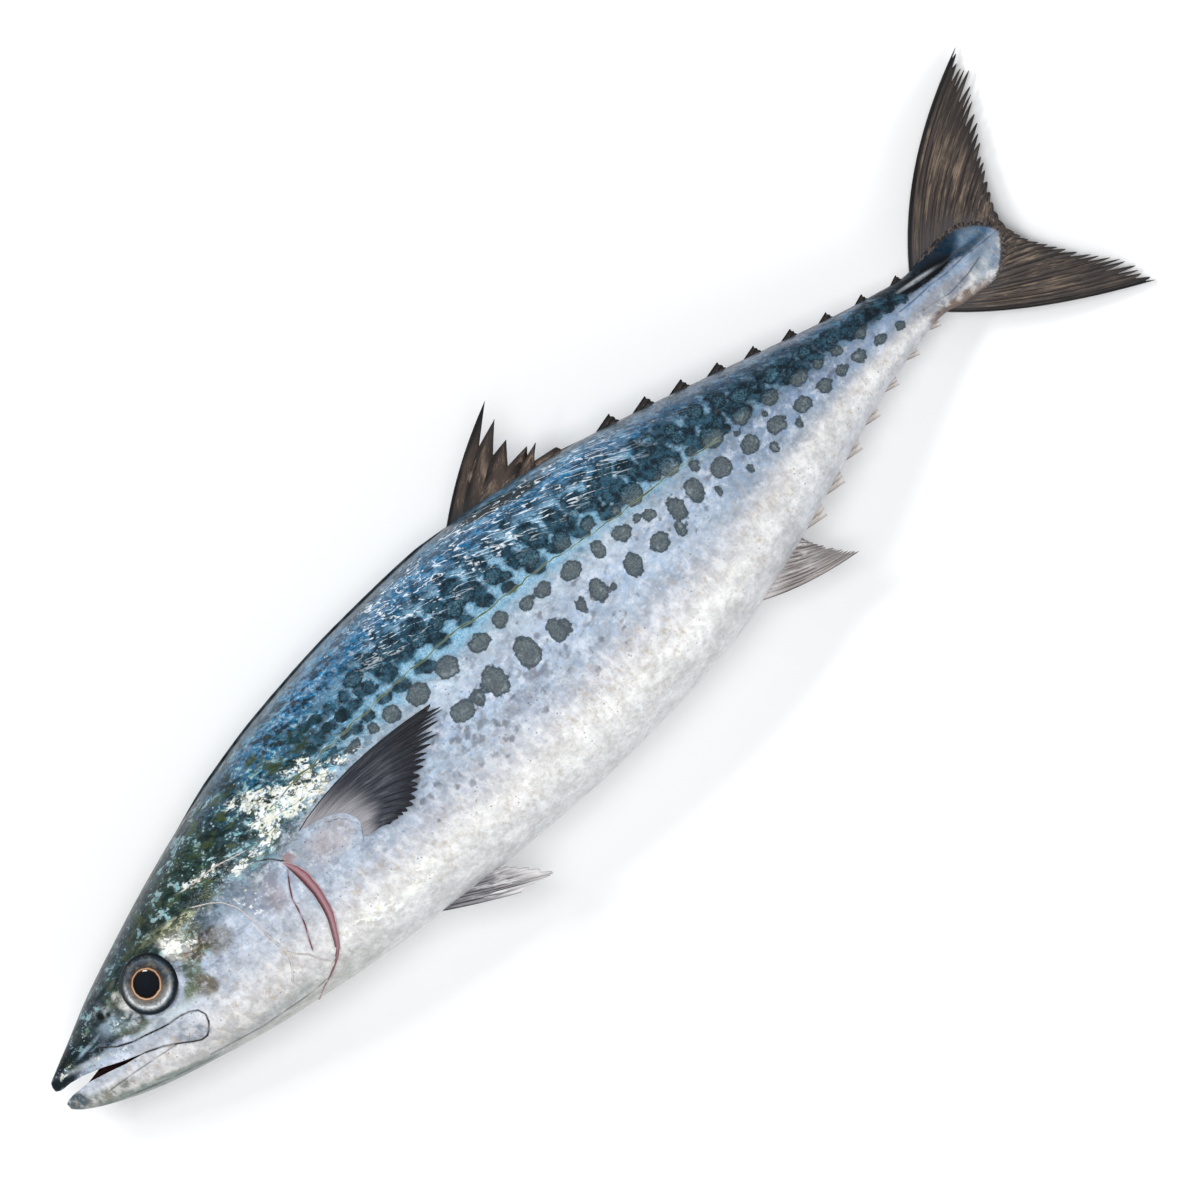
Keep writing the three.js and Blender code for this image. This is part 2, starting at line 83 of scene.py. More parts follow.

# %% [markdown]
# ## The outline of the body
# A drawn outline has few points and a smooth line through them. Here each row is a landmark of the
# fish, with the height of the back and the belly and half the width there. The curve between landmarks is a
# cubic that never overshoots, so the back doesn't ripple.

# %% Landmarks from nose to tail root
FORK_LENGTH = 550.0
TAIL_ROOT_END = FORK_LENGTH + 2
LANDMARKS = np.array([
    # x, back, belly, half width
    (NOSE_X, -2, -12.8, 0.9), (0, 0.8, -14.4, 1.9), (3.5, 2.6, -17.4, 3.2), (17.3, 9.1, -25, 8.2),
    (36, 18, -32.5, 14.8), (60.8, 27.8, -39.2, 21.5), (86.3, 37.1, -45.3, 27), (112, 45.3, -49.6, 31),
    (138, 52.2, -53.5, 34.2), (172.5, 59.1, -56.9, 37.2), (225, 64.7, -60.3, 39), (265, 66, -61.2, 38.9),
    (293, 64.7, -60, 38), (345, 56.5, -54.6, 33.4), (380, 47.8, -46.4, 28.4), (431, 33.2, -30.2, 19.6),
    (466, 22.9, -18.6, 13.4), (492, 16.3, -12.6, 9.2), (508, 13.4, -10.2, 6.8), (519, 15.8, -13, 5.6),
    (535, 17.2, -14.6, 3.8), (546, 13.6, -10.2, 2), (TAIL_ROOT_END, 6, -3, 0.7),
])


def ease(value):
    return value * value * (3 - 2 * value)


def fade(value, start, end):
    """0 before start, 1 after end, smooth between."""
    return ease(np.clip((value - start) / (end - start), 0, 1))


def window(value, start, full, fall, end):
    """Rises from 0 at start to 1 at full, and falls from fall to 0 at end."""
    return fade(value, start, full) * (1 - fade(value, fall, end))


def ridge(distance, width):
    """A rounded ridge along a line: 1 on it, 0.37 a width away."""
    return np.exp(-(distance / width) ** 2)


def smooth_curve(xs, ys):
    """A cubic through the points that doesn't overshoot them."""
    xs, ys = np.asarray(xs, float), np.asarray(ys, float)
    rise = np.diff(ys) / np.diff(xs)
    slope = np.concatenate([rise[:1], np.zeros(len(xs) - 2), rise[-1:]])
    product, total = rise[:-1] * rise[1:], rise[:-1] + rise[1:]
    slope[1:-1] = np.where(product > 0, 2 * product / np.where(product > 0, total, 1), 0)

    def at(x):
        x = np.clip(x, xs[0], xs[-1])
        i = np.clip(np.searchsorted(xs, x, side="right") - 1, 0, len(xs) - 2)
        step = xs[i + 1] - xs[i]
        t = (x - xs[i]) / step
        bulge = t * (1 - t) * step * ((1 - t) * slope[i] - t * slope[i + 1])
        return ys[i] + (ys[i + 1] - ys[i]) * ease(t) + bulge

    return at


back_at, belly_at, half_at = (smooth_curve(LANDMARKS[:, 0], LANDMARKS[:, k]) for k in (1, 2, 3))
DEEPEST_X, WIDEST_X = 265, 225
depth, width = back_at(DEEPEST_X) - belly_at(DEEPEST_X), 2 * half_at(WIDEST_X)
print(f"deepest {depth:.1f} mm, widest {width:.1f} mm")

# %% [markdown]
# ## How it lies
# The middle plane of the fish sags towards the nose and, more, towards the tail, and the flank underneath
# is pressed flat where it carries the weight. The section is a superellipse: a little fuller than an
# ellipse below, a little leaner above.

# %% Middle plane and flank
REST_HEIGHT = 37.5
HEAD_DROP, HEAD_DROP_FROM = 6.0, 150.0
TAIL_DROP, TAIL_DROP_FROM, TAIL_TIP_X = 35.0, 300.0, FORK_LENGTH + 40
BACK_POWER, BELLY_POWER = 1.9, 2.1


def plane_at(x):
    head = np.clip((HEAD_DROP_FROM - x) / HEAD_DROP_FROM, 0, 1.1)
    tail = np.clip((x - TAIL_DROP_FROM) / (TAIL_TIP_X - TAIL_DROP_FROM), 0, 1.1)
    return REST_HEIGHT - HEAD_DROP * head ** 2 - TAIL_DROP * tail ** 2


def middle_at(x):
    return (back_at(x) + belly_at(x)) / 2


def rise_at(x, y):
    """Height on the section: -1 at the belly line, 1 at the back line."""
    return (y - middle_at(x)) / ((back_at(x) - belly_at(x)) / 2)


def flank_at(x, y):
    """How far the skin stands off the middle plane."""
    rise = np.clip(rise_at(x, y), -1, 1)
    power = np.where(rise > 0, BACK_POWER, BELLY_POWER)
    return half_at(x) * (1 - np.abs(rise) ** power) ** (1 / power)


def flank_normal(x, y, side):
    step = 2.0
    slope_x = (flank_at(x + step, y) - flank_at(x - step, y)) / (2 * step)
    slope_y = (flank_at(x, y + step) - flank_at(x, y - step)) / (2 * step)
    return Vector((-slope_x, -slope_y, side)).normalized()


# %% [markdown]
# ## Lines and patches on the skin
# The head of a mackerel is a set of bony plates. Their edges are drawn here once, as short lists of points,
# and used twice: to raise or press in the surface, and to paint the thin dark or pale lines along them.
# What is stored on each vertex is the distance to the line, because a distance stays smooth between
# vertices, so the painted line is much finer than the mesh.

# %% Edges of the plates
JAW_EDGE = [
    (26.7, -2.2), (32.3, -6.5), (38.8, -9.5), (45.3, -11.2), (50.9, -12.9), (56.1, -14.2), (61.2, -14.7),
    (65.6, -16), (69, -18.1), (70.3, -21.6), (69, -25), (66.8, -27.4), (64.7, -28.9), (61.7, -28.7),
    (58.2, -26.7), (53.9, -23.7), (47.4, -19.8), (39.7, -16.5),
]
JAW_FOLD = [(17.3, -18.5), (30.2, -19.8), (43.1, -21.6), (51.8, -22.9)]
BROW = [(30.2, 12.1), (43, 14.2), (54, 17), (63.8, 19.4)]
CHEEK_BONE = [
    (97, 16.4), (103.5, 12.9), (107.8, 9.5), (111.3, 3.5), (112.6, -4.3), (113, -12.9), (113.9, -21.6),
    (114.3, -24.6), (113, -29.3), (110, -33.6), (107.8, -35.8),
]
CHEEK_FORK = [(114.3, -24.6), (116.4, -28), (120.8, -32.3), (122.9, -36.7), (125.1, -39.7)]
COVER_BONE = [
    (138.4, 1), (134.6, -4.3), (131.5, -9.5), (130.2, -15.1), (128.1, -21.6), (125.9, -25.9), (123.3, -31.5),
]
COVER_TOP = [(131.5, 12.1), (135.9, 9.5), (139.3, 5.2)]
NAPE_BONE = [(103.5, 23.7), (116, 23), (129.4, 19.4)]
SIDE_FIN_PAD = [
    (151.8, 8.2), (159.6, 7.3), (163.9, 5.2), (169.1, 3), (171.6, 0.4), (173.4, -2.6), (174.2, -5.2),
    (173.4, -8.6), (170.8, -11.2),
]
JAW_WRINKLES = [(8, -20.5), (25, -27), (45, -33.5), (62, -38.5)]
THROAT_LINE = [(60, -36), (85, -42), (108, -45), (122, -45.5)]
TAIL_LINES = [
    [(494, 3.4), (503, 2.9), (512, 3.2), (521, 2.2), (532, 2.7), (542, 1.7), (554, 1.4)],
    [(503, -2.8), (517, -5.2), (528, -4.2), (537, -2)],
    [(508, 8.5), (522, 6.4), (534, 6.2)],
]
DRAWN_LINES = {
    # the creases are painted dark along them, as painted shade
    "crease": [JAW_EDGE, COVER_TOP],
    "fold": [JAW_FOLD, BROW, JAW_WRINKLES, THROAT_LINE, SIDE_FIN_PAD[2:], *TAIL_LINES],
    "bone": [CHEEK_BONE, CHEEK_FORK, NAPE_BONE],
    "rift": [COVER_BONE],
}
LATERAL_LINE = smooth_curve(
    (138, 200, 250, 276, 302, 345, 400, 440, 480, 520), (25, 28.8, 29.3, 26.7, 25, 19.4, 15.5, 11, 6, 3),
)
COVER_EDGE = smooth_curve(
    (-50, -47.4, -44.9, -41.8, -38, -32.3, -25.9, -19.4, -12.9, 0, 8, 20, 40),
    (110, 114, 120.8, 126.6, 130.7, 133.7, 136.7, 138.4, 139.3, 138.9, 138, 138, 138),
)
SLIT_WIDTH = smooth_curve(
    (-50, -46, -42, -38, -32, -26, -13, -6.5, -2, 5), (0.9, 1.2, 1.7, 2.3, 3.3, 3.8, 4.3, 4.8, 4.0, 0.3),
)


def line_distance(x, y, line):
    """Signed distance to a bent line: positive on its left."""
    best = np.full(x.shape, 1e3)
    for (ax, ay), (bx, by) in zip(line, line[1:]):
        dx, dy = bx - ax, by - ay
        t = np.clip(((x - ax) * dx + (y - ay) * dy) / (dx * dx + dy * dy), 0, 1)
        away = np.hypot(x - ax - t * dx, y - ay - t * dy)
        signed = np.where(dx * (y - ay) - dy * (x - ax) >= 0, away, -away)
        best = np.where(away < np.abs(best), signed, best)
    return best


def nearest(*distances):
    """The signed distance that is nearest to its line, pushed up away from it so that lines stay apart."""
    best = distances[0]
    for other in distances[1:]:
        best = np.where(np.abs(other) < np.abs(best), other, best)
    return best * (1 + best * best)


def inside(x, y, outline):
    """Which points lie in a closed outline."""
    found = np.zeros(x.shape, bool)
    for (ax, ay), (bx, by) in zip(outline, outline[1:] + outline[:1]):
        if ay == by:
            continue
        crosses = (ay > y) != (by > y)
        found ^= crosses & (x < (bx - ax) * (y - ay) / (by - ay) + ax)
    return found


# %% [markdown]
# ## Relief of the head and body
# The gill cover ends in a raised edge, with a slit behind it. The jaw plate lies over the cheek, the eye
# sits in a socket, the nostril is a small pit and the side fin grows from a fleshy pad. All of it is a
# height in millimetres over the smooth flank.

# %% Relief in millimetres
EYE_X, EYE_Y, EYE_RADIUS = 60.8, 4.5, 13.1
NOSTRILS = [(35.8, 7.8, 2.1, 1.5), (38.8, 6.4, 0.9, 0.8)]  # x, y, radius, depth
COVER_RAISE, SLIT_DEPTH = 1.5, 1.3
JAW_RAISE, PAD_RAISE, BONE_RAISE = 0.7, 0.9, 0.22
SOCKET_DEPTH, SOCKET_LIP, NOSTRIL_LIP = 5.0, 0.55, 0.25
FOLD_DEPTH, BROW_DEPTH = 0.45, 0.35


def gill_relief(x, y):
    behind = x - COVER_EDGE(y)
    slit = SLIT_WIDTH(y)
    cover = COVER_RAISE * fade(behind, -34, -2) * (behind <= 0)
    sunk = -SLIT_DEPTH * (behind > 0) * (1 - fade(behind, 0.35 * slit, slit + 0.6))
    return (cover + sunk) * window(y, -51, -46, 1, 9)


def depth_inside(x, y, outline, edge):
    """Distance to an edge, negative outside the closed outline that it belongs to."""
    return np.where(inside(x, y, outline), 1, -1) * np.abs(line_distance(x, y, edge))


def relief(x, y):
    high = gill_relief(x, y)
    in_jaw = depth_inside(x, y, JAW_EDGE, JAW_EDGE)
    high += JAW_RAISE * fade(in_jaw, -0.3, 1.1) * fade(x, 24, 34)
    in_pad = depth_inside(x, y, SIDE_FIN_PAD + [(150, -12)], SIDE_FIN_PAD)
    high += PAD_RAISE * fade(in_pad, -0.6, 3.5) * fade(x, 150, 162)
    from_eye = np.hypot(x - EYE_X, y - EYE_Y) - EYE_RADIUS
    high += SOCKET_LIP * ridge(from_eye - 1.6, 1.5) - SOCKET_DEPTH * (1 - fade(from_eye, -2.2, -0.6))
    for hole_x, hole_y, radius, depth in NOSTRILS:
        hole = np.hypot(x - hole_x, y - hole_y)
        high += NOSTRIL_LIP * ridge(hole - radius - 0.4, 0.5) - depth * (1 - fade(hole, 0.5 * radius, radius))
    high -= FOLD_DEPTH * ridge(line_distance(x, y, JAW_FOLD), 0.6)
    high -= BROW_DEPTH * ridge(line_distance(x, y, BROW), 0.7)
    for bone in (CHEEK_BONE, CHEEK_FORK, COVER_BONE, NAPE_BONE):
        high += BONE_RAISE * ridge(line_distance(x, y, bone), 0.6)
    return high


# %% [markdown]
# ## The body mesh
# A UV sphere is a good start for a fish: its two poles become the nose and the tail root, its rings become
# sections and its points are evenly spread around each section. The rings are packed closer on the head,
# where the detail is, and they bend along the edge of the gill cover, so that edge is crisp.

# %% A sphere turned into the body
AROUND, STATIONS = 262, 368
STATION_SHARE = (0, 0.012, 0.47, 0.9, 1)
STATION_X = (NOSE_X, 0.6, 150, 500, TAIL_ROOT_END)
KEEL_HEIGHT = 2.2
COVER_X = 139  # the ring that is bent along the edge of the gill cover


def fresh():
    """Nothing is selected, so the next operator touches only what is added."""
    if bpy.context.object and bpy.context.object.mode != "OBJECT":
        bpy.ops.object.mode_set(mode="OBJECT")
    bpy.ops.object.select_all(action="DESELECT")


def read_points(piece):
    points = np.empty(len(piece.data.vertices) * 3)
    piece.data.vertices.foreach_get("co", points)
    return points.reshape(-1, 3)


def write_points(piece, points):
    piece.data.vertices.foreach_set("co", np.ascontiguousarray(points).ravel())
    piece.data.update()


def keel_at(x, turn):
    """The sharp keel along the tail root, with a smaller one below and above it."""
    small = 0.5 * ridge(turn + 0.75, 0.13) + 0.35 * ridge(turn - 0.62, 0.1)
    return window(x, 492, 512, 530, 545) * (KEEL_HEIGHT * np.abs(np.cos(turn)) ** 40 + small)


def section(x, angle):
    """Height and flank of a section at an angle: 0 on the left flank, a quarter turn on at the back."""
    up = np.sin(angle) >= 0
    power = 2 / np.where(up, BACK_POWER, BELLY_POWER)
    reach = (back_at(x) - belly_at(x)) / 2
    y = middle_at(x) + np.sign(np.sin(angle)) * reach * np.abs(np.sin(angle)) ** power
    return y, np.abs(np.cos(angle)) ** power


fresh()
bpy.ops.mesh.primitive_uv_sphere_add(segments=AROUND, ring_count=STATIONS, radius=1)
body = bpy.context.object
body.name = "body_skin"
ball = read_points(body)
station = np.arccos(np.clip(ball[:, 2], -1, 1)) / math.pi
angle = np.arctan2(ball[:, 1], ball[:, 0])
pole = np.hypot(ball[:, 0], ball[:, 1]) < 1e-6
x = np.interp(station, STATION_SHARE, STATION_X)
y, share = section(x, angle)
x = x + ridge(x - COVER_X, 30) * (COVER_EDGE(y) - COVER_X) * (1 - fade(y, 8, 26))
y, share = section(x, angle)
side = np.sign(np.cos(angle))
turn = np.arcsin(np.clip(np.sin(angle), -1, 1))
stand_off = share * (half_at(x) + keel_at(x, turn)) + relief(x, y) * fade(share, 0.05, 0.35)
z = np.maximum(0, plane_at(x) + side * stand_off)
points = np.column_stack([x, np.where(pole, middle_at(x), y), np.where(pole, plane_at(x), z)])
write_points(body, place(points))
bpy.ops.object.shade_smooth()
print("body", len(body.data.vertices), "points")

# %% [markdown]
# ## The spots
# The flank carries three rows of dark spots that shrink towards the tail, and above them a darker back
# where the blotches crowd and merge. The large spots are listed, one tuple each, the small ones by a
# seeded draw. The mesh stores how deep inside a spot each point lies.

# %% Rows of spots
LOW_ROW = [  # x, y, half length, half height
    (240, 1.3, 6.0, 4.7), (249, 1.3, 2.8, 3.9), (259, 1.7, 5.4, 7.3), (277.5, 1.7, 5.6, 7.6),
    (293, 0.4, 3.9, 5.6), (297.5, -1.3, 2.2, 3.9), (308, 1.3, 2.6, 3.9), (318, 1.3, 4.3, 5.6),
    (323.5, -2.2, 2.2, 2.2), (336.5, -0.9, 4.3, 5.4), (351.5, -1.3, 4.7, 4.5), (362, -3.2, 2.6, 3.5),
    (366.5, 4.3, 3.9, 6), (377.5, 5.2, 4.3, 5.6), (385, -2.2, 1.7, 2.6), (392.5, 4.7, 5.2, 4.5),
    (401.5, -3.9, 1.5, 2.6), (408.5, 3.9, 4.5, 4.1), (415.5, -3.9, 2.2, 2.6), (422.5, 2.6, 4.7, 3.9),
    (430, -3.5, 1.7, 2.2), (437, 1.7, 4.5, 3.7), (449.5, 1.3, 3.7, 3.5), (459.5, 1.3, 3.2, 2.6),
    (469, 0.9, 3.7, 2.8), (480.5, 0, 3.2, 2.4), (491.5, -0.9, 2.6, 2.2),
]
MIDDLE_ROW = [
    (174, 22.4, 2.6, 2.2), (185.5, 22, 2.6, 2.4), (194.5, 21.6, 4.5, 2.4), (206.5, 21.6, 2.6, 2.6),
    (216.5, 20.7, 4.3, 4.1), (230.5, 19.4, 5.4, 5.2), (247.5, 19.8, 5.4, 5.2), (265, 18.3, 5.6, 4.1),
    (278, 19.8, 3.7, 4.1), (291, 17.3, 3.6, 3.2), (300.5, 17.3, 4.3, 3.5), (315, 15.1, 5.4, 4.3),
    (329.5, 14, 3.5, 4.1), (342, 12.5, 4.7, 3.9), (351, 12.9, 2.2, 2.2), (356, 10.4, 3, 3),
    (376, 20.7, 5, 4.7), (369, 20.3, 1.9, 1.9), (384.5, 13.4, 2.4, 2.8), (387.5, 18.5, 2.6, 2.2),
    (398, 17.3, 5.2, 5), (407.5, 11.6, 1.5, 1.5), (414, 15.5, 4.7, 4.1), (428.5, 13.4, 4.3, 3.7),
    (422, 9.5, 1.3, 1.3), (443.5, 11.2, 4.5, 3.5), (453.5, 10.4, 2.6, 2.6), (463, 9.1, 2.8, 2.8),
    (476.5, 7.8, 3.2, 2.8),
]
HIGH_ROW = [
    (214, 43.1, 4.7, 3.5), (232, 43.1, 4.3, 4.7), (246.5, 37.5, 5.2, 3.9), (257, 37.1, 3.7, 3),
    (266, 36.2, 3, 5.2), (273.5, 38, 5.2, 3.9), (288.5, 36.2, 4.3, 3.7), (292.5, 32.3, 2.6, 2.6),
    (305, 31.5, 5.2, 4.3), (320, 27.6, 4.1, 4.7), (333.5, 25.4, 3.5, 3.5), (339, 32.8, 3.9, 3.5),
    (346.5, 21.6, 2.6, 2.6), (356, 22, 5.2, 5.4), (387.5, 27.2, 3.5, 3.7), (404, 22, 1.9, 1.9),
    (419, 22.9, 4.3, 3.7), (435.5, 20.3, 4.3, 3.7), (426, 21.6, 2.2, 2.2), (445.5, 18.1, 1.9, 1.9),
    (453, 18.1, 3.2, 2.8), (464.5, 13.8, 2.6, 2.6), (354.5, 38.8, 3.9, 3.9), (343.5, 43.1, 3.5, 2.2),
    (346.5, 35.8, 3, 3), (363, 28.9, 3.2, 3), (376.5, 34.5, 3.9, 3), (387, 31.5, 3, 3),
    (400, 30.2, 3.5, 3.5), (411, 27.2, 3, 3),
]
draw = np.random.default_rng(7)


def crowded_blotches():
    """Four more rows up the back: closer and merging, small at the shoulder, large in the middle."""
    found = []
    for row, height in enumerate((0.41, 0.53, 0.65, 0.76)):
        place_x = 168 + 5 * row
        while place_x < 500:
            grow = 0.5 + 0.5 * fade(place_x, 185, 240) - 0.45 * fade(place_x, 380, 480)
            x1 = place_x + draw.uniform(-1.2, 1.2)
            y1 = middle_at(x1) + (back_at(x1) - middle_at(x1)) * (height + draw.uniform(-0.03, 0.03))
            long = (4.8, 6.0, 5.4, 2.6)[row] * grow * draw.uniform(0.75, 1.1)
            found.append((x1, y1, long, long * draw.uniform(0.62, 0.85)))
            place_x += 12 * grow + 0.6
    return found


def stray_specks():
    """Small brown-grey specks between and under the rows, thickest behind the side fin."""
    found = []
    for _ in range(170):
        x1 = draw.uniform(165, 480)
        y1 = middle_at(x1) + draw.normal(6, 11) * (1 - 0.6 * fade(x1, 330, 480))
        found.append((x1, y1, *(draw.uniform(0.7, 1.5, 2))))
    for _ in range(120):
        x1 = 200 + 120 * draw.uniform() ** 1.2
        found.append((x1, -10 + draw.normal(0, 6.5), *(draw.uniform(0.8, 2.1, 2))))
    return found


def spot_depth(x, y, spots, lean):
    """Greatest depth inside any spot, in mm, negative outside. Each spot is an oval that leans a little."""
    best = np.full(x.shape, -6.0)
    for spot_x, spot_y, long, high in spots:
        size = max(long, high)
        near = (np.abs(x - spot_x) < size + 7) & (np.abs(y - spot_y) < size + 7)
        dx, dy = x[near] - spot_x, y[near] - spot_y
        along = (dx * math.cos(lean) + dy * math.sin(lean)) / long
        across = (dy * math.cos(lean) - dx * math.sin(lean)) / high
        best[near] = np.maximum(best[near], (1 - np.hypot(along, across)) * min(long, high))
    return best


clear_spots = LOW_ROW + MIDDLE_ROW + HIGH_ROW
dark_blotches = crowded_blotches()
specks = stray_specks()
print(len(clear_spots), "spots,", len(dark_blotches), "blotches and", len(specks), "specks on each flank")

# %% [markdown]
# ## Storing the pattern on the mesh
# A material can read a named number from each vertex. These are the fields that the skin's finish needs:
# how high on the section a point lies, how near a line or spot is, and soft patches of colour on the head
# and shoulder, a few of which are painted highlights, painted reflections and painted shade.

# %% Fields on the vertices
UNDER_SHIFT = 7.0  # the hidden flank has its spots a little further back


def store(piece, name, values):
    """One number on each vertex."""
    field = piece.data.attributes.new(name, "FLOAT", "POINT")
    field.data.foreach_set("value", np.ascontiguousarray(values, dtype=np.float32))


def store_colour(piece, name, values):
    field = piece.data.attributes.new(name, "FLOAT_COLOR", "POINT")
    field.data.foreach_set("color", np.ascontiguousarray(values, dtype=np.float32).ravel())


def rgb(code):
    """A colour written as six hex digits, as the linear numbers that light is reckoned in."""
    parts = [int(code[i:i + 2], 16) / 255 for i in (0, 2, 4)]
    return tuple(p / 12.92 if p <= 0.04045 else ((p + 0.055) / 1.055) ** 2.4 for p in parts)


def blob(x, y, centre_x, centre_y, length, height, lean=0.0):
    """A soft oval: 1 in the middle, 0.37 at its edge."""
    dx, dy = x - centre_x, y - centre_y
    along = (dx * math.cos(lean) + dy * math.sin(lean)) / length
    across = (dy * math.cos(lean) - dx * math.sin(lean)) / height
    return np.exp(-(along * along + across * across) ** 1.5)


PATCHES = [  # centre x and y, half length, half height, lean, colour, strength
    (27, 11.5, 22, 4.5, 0.45, "5a6770", 0.75),
    (18, 4.5, 24, 5.0, 0.42, "2a3843", 0.95),
    (24, 0.4, 24, 4.4, -0.02, "172532", 1.0),
    (5, 0.5, 12, 6.0, 0.4, "0f1922", 0.95),
    # painted reflections on the wet snout: a light blue line along the lip, then a white glint
    (23, 1.6, 7, 0.8, 0.1, "9db8cc", 0.8),
    (33, 9.4, 4, 1.0, 0.4, "dfe9ef", 0.85),
    (19, -4.2, 13, 1.3, -0.3, "b4bfca", 0.8),
    # a painted light blue reflection on the snout
    (39, 1.5, 9, 4.5, -0.3, "9fb9cb", 0.75),
    (31, 8, 7, 3.5, 0.4, "2c3b46", 0.7),
    (40, 7.5, 5, 3, 0.2, "b9c6c8", 0.6),
    (45.5, 1, 4.5, 9, 0.3, "39443c", 0.9),
    (43, -5.5, 9, 3, -0.45, "5e6754", 0.7),
    (46.8, 6.5, 2.2, 5.2, 0.1, "f4f3ec", 1.0),
    (57, -11.5, 16, 2.2, -0.12, "c6d1d8", 0.85),
    # a painted highlight behind the eye
    (80.5, 9.5, 6.6, 6.6, -0.3, "f7f6ee", 1.0),
    (83, 16.8, 14, 2.2, -0.16, "c3c79d", 0.85),
    (90, 9, 5, 4, 0, "6d7568", 0.7),
    (88, 1.5, 9, 3.2, 0.3, "5c4a34", 0.95),
    (84, 3.5, 5, 1.6, 0.2, "9a7048", 0.8),
    (79, -3, 5, 4.5, 0.3, "6f7d70", 0.7),
    (96, -2, 8, 6, 0.2, "8a8784", 0.55),
    (79, -12, 5, 6, 0.6, "6f675c", 0.75),
    (73, -9, 5, 3, 0.5, "77836f", 0.7),
    (84, 26, 26, 6, 0.3, "36433a", 0.6),
    (106, 30, 20, 8, 0.3, "2d4a44", 0.6),
    (64, 14, 24, 2.0, 0.3, "1f2a2c", 0.6),
    (118, 12, 12, 5, 0, "7f93a6", 0.6),
    (121, 2, 9, 11, 0, "8f97a8", 0.5),
    (128, -4, 5, 10, -0.3, "a79aa0", 0.4),
    (60, -24, 9, 4, -0.5, "8f96a6", 0.6),
    (16, -19, 14, 3.2, -0.25, "868983", 0.6),
    (2, -12, 6, 4, -0.4, "4f5d66", 0.9),
    (40, -31.5, 34, 2.2, -0.33, "7d8a83", 0.65),
    (92, -40, 26, 2.6, -0.12, "a9aeb0", 0.5),
    (146, 20, 28, 10, 0.3, "3f626b", 0.55),
    (142, 4.3, 2.6, 2.2, 0, "b98d82", 0.9),
    (149, -3, 8, 12, 0, "a6afbd", 0.5),
    (163, -2, 12, 9, -0.1, "b3aaab", 0.5),
    # the two nostril pits painted black: painted shade in the pits
    (35.4, 7.6, 1.7, 2.2, 0, "07090c", 1.0),
    (38.6, 6.2, 1.1, 1.0, 0, "0b0e12", 1.0),
    (312, 57.5, 24, 2.2, -0.22, "10211f", 0.85),
    (262, -12, 14, 5, 0.1, "8d93a3", 0.45),
    (500, 13, 22, 4.5, -0.05, "1b2a36", 0.9),
    (526, 13.5, 18, 5.5, 0.0, "11293c", 1.0),
    (543, 10, 8, 7, 0.2, "4f6a84", 0.9),
    (513, 8.0, 15, 3.4, -0.12, "05070a", 1.0),
    # a painted highlight: a white glint along the keel of the tail root
    (509, 8.8, 9, 0.8, -0.15, "d5dfe8", 0.6),
    (540, 8.5, 6, 4, 0.4, "7893ac", 0.8),
    (536, 4.5, 7, 1.8, 0, "2b4459", 0.8),
    (514, -3.5, 18, 4, -0.05, "9aa1ae", 0.8),
    (541, -5, 8, 6, -0.4, "8395aa", 0.9),
    (533, -7.5, 9, 2, 0.5, "b7c3cf", 0.8),
    (518, -11.0, 16, 3.0, -0.1, "76645c", 0.9),
]
GLARE = [  # where wet light breaks on shoulder and cheek: centre, half length, half height, lean, strength
    (148, 32, 12, 4.5, -0.5, 1.0), (159, 21, 13, 4.5, -0.4, 1.0), (137, 15, 10, 3, -0.1, 0.75),
    (124, 16, 8, 2.2, 0.1, 0.6), (182, 20.5, 15, 3, 0.0, 0.6), (143, 22, 8, 7, 0.5, 0.6),
    (112, 24, 14, 2.5, -0.1, 0.6), (171, 27, 10, 7, -0.4, 0.75), (84, 8.5, 6, 5.5, -0.3, 0.6),
    (152, -38.5, 17, 3.6, -0.2, 0.5), (178, -39, 17, 3.6, 0.1, 0.3), (38, 1.2, 7, 2.2, -0.4, 0.55),
    (14, 2.5, 12, 2.0, 0.35, 0.35), (24, -6.5, 14, 1.8, -0.3, 0.4), (118, 2, 10, 8, 0.0, 0.35),
]


def patch_colours(x, y):
    """Patches laid over one another in order: the mixed colour and how much of the ground they cover."""
    colour = np.zeros((len(x), 3))
    cover = np.zeros(len(x))
    for centre_x, centre_y, length, height, lean, code, strength in PATCHES:
        mask = np.clip(blob(x, y, centre_x, centre_y, length, height, lean) * 1.3, 0, 1) * strength
        total = mask + cover * (1 - mask)
        weight = np.where(total > 1e-6, mask / np.maximum(total, 1e-6), 0)[:, None]
        colour = colour * (1 - weight) + np.array(rgb(code)) * weight
        cover = total
    return np.column_stack([colour, cover])


def lively_at(x, y, rise):
    """How strongly the skin is marbled: full on the back, faint on the flank and belly."""
    edge = 0.60 - 0.2 * fade(x, 120, 200) + 0.02 * fade(x, 300, 420)
    back = fade(rise, edge - 0.25, edge + 0.1) * (1 - 0.6 * fade(rise, 0.86, 1.0))
    face = 0.22 * blob(x, y, 40, 5, 40, 14, 0.2) + 0.45 * blob(x, y, 84, 4, 18, 14)
    shoulder = 0.7 * blob(x, y, 150, 22, 42, 14, 0.1) + 0.5 * blob(x, y, 106, 20, 22, 8, 0.1)
    netted = 0.6 * fade(x, 190, 235) * (1 - 0.35 * fade(rise, 0.66, 0.8))
    back = back * (0.6 + 0.4 * fade(x, 50, 110)) * (1 - netted) * (1 - 0.35 * fade(x, 330, 430))
    return np.clip(0.05 + 0.85 * back + face + shoulder, 0, 1) * (1 - 0.85 * fade(x, 490, 510))


def highlight_streak_at(x, rise):
    """Where the back carries painted wet highlights, in white streaks."""
    front = window(x, 205, 245, 345, 385) * window(rise, 0.5, 0.66, 0.93, 0.99)
    rear = 0.12 * window(x, 350, 390, 440, 480) * window(rise, 0.7, 0.8, 0.88, 0.95)
    return np.clip(front + rear, 0, 1)


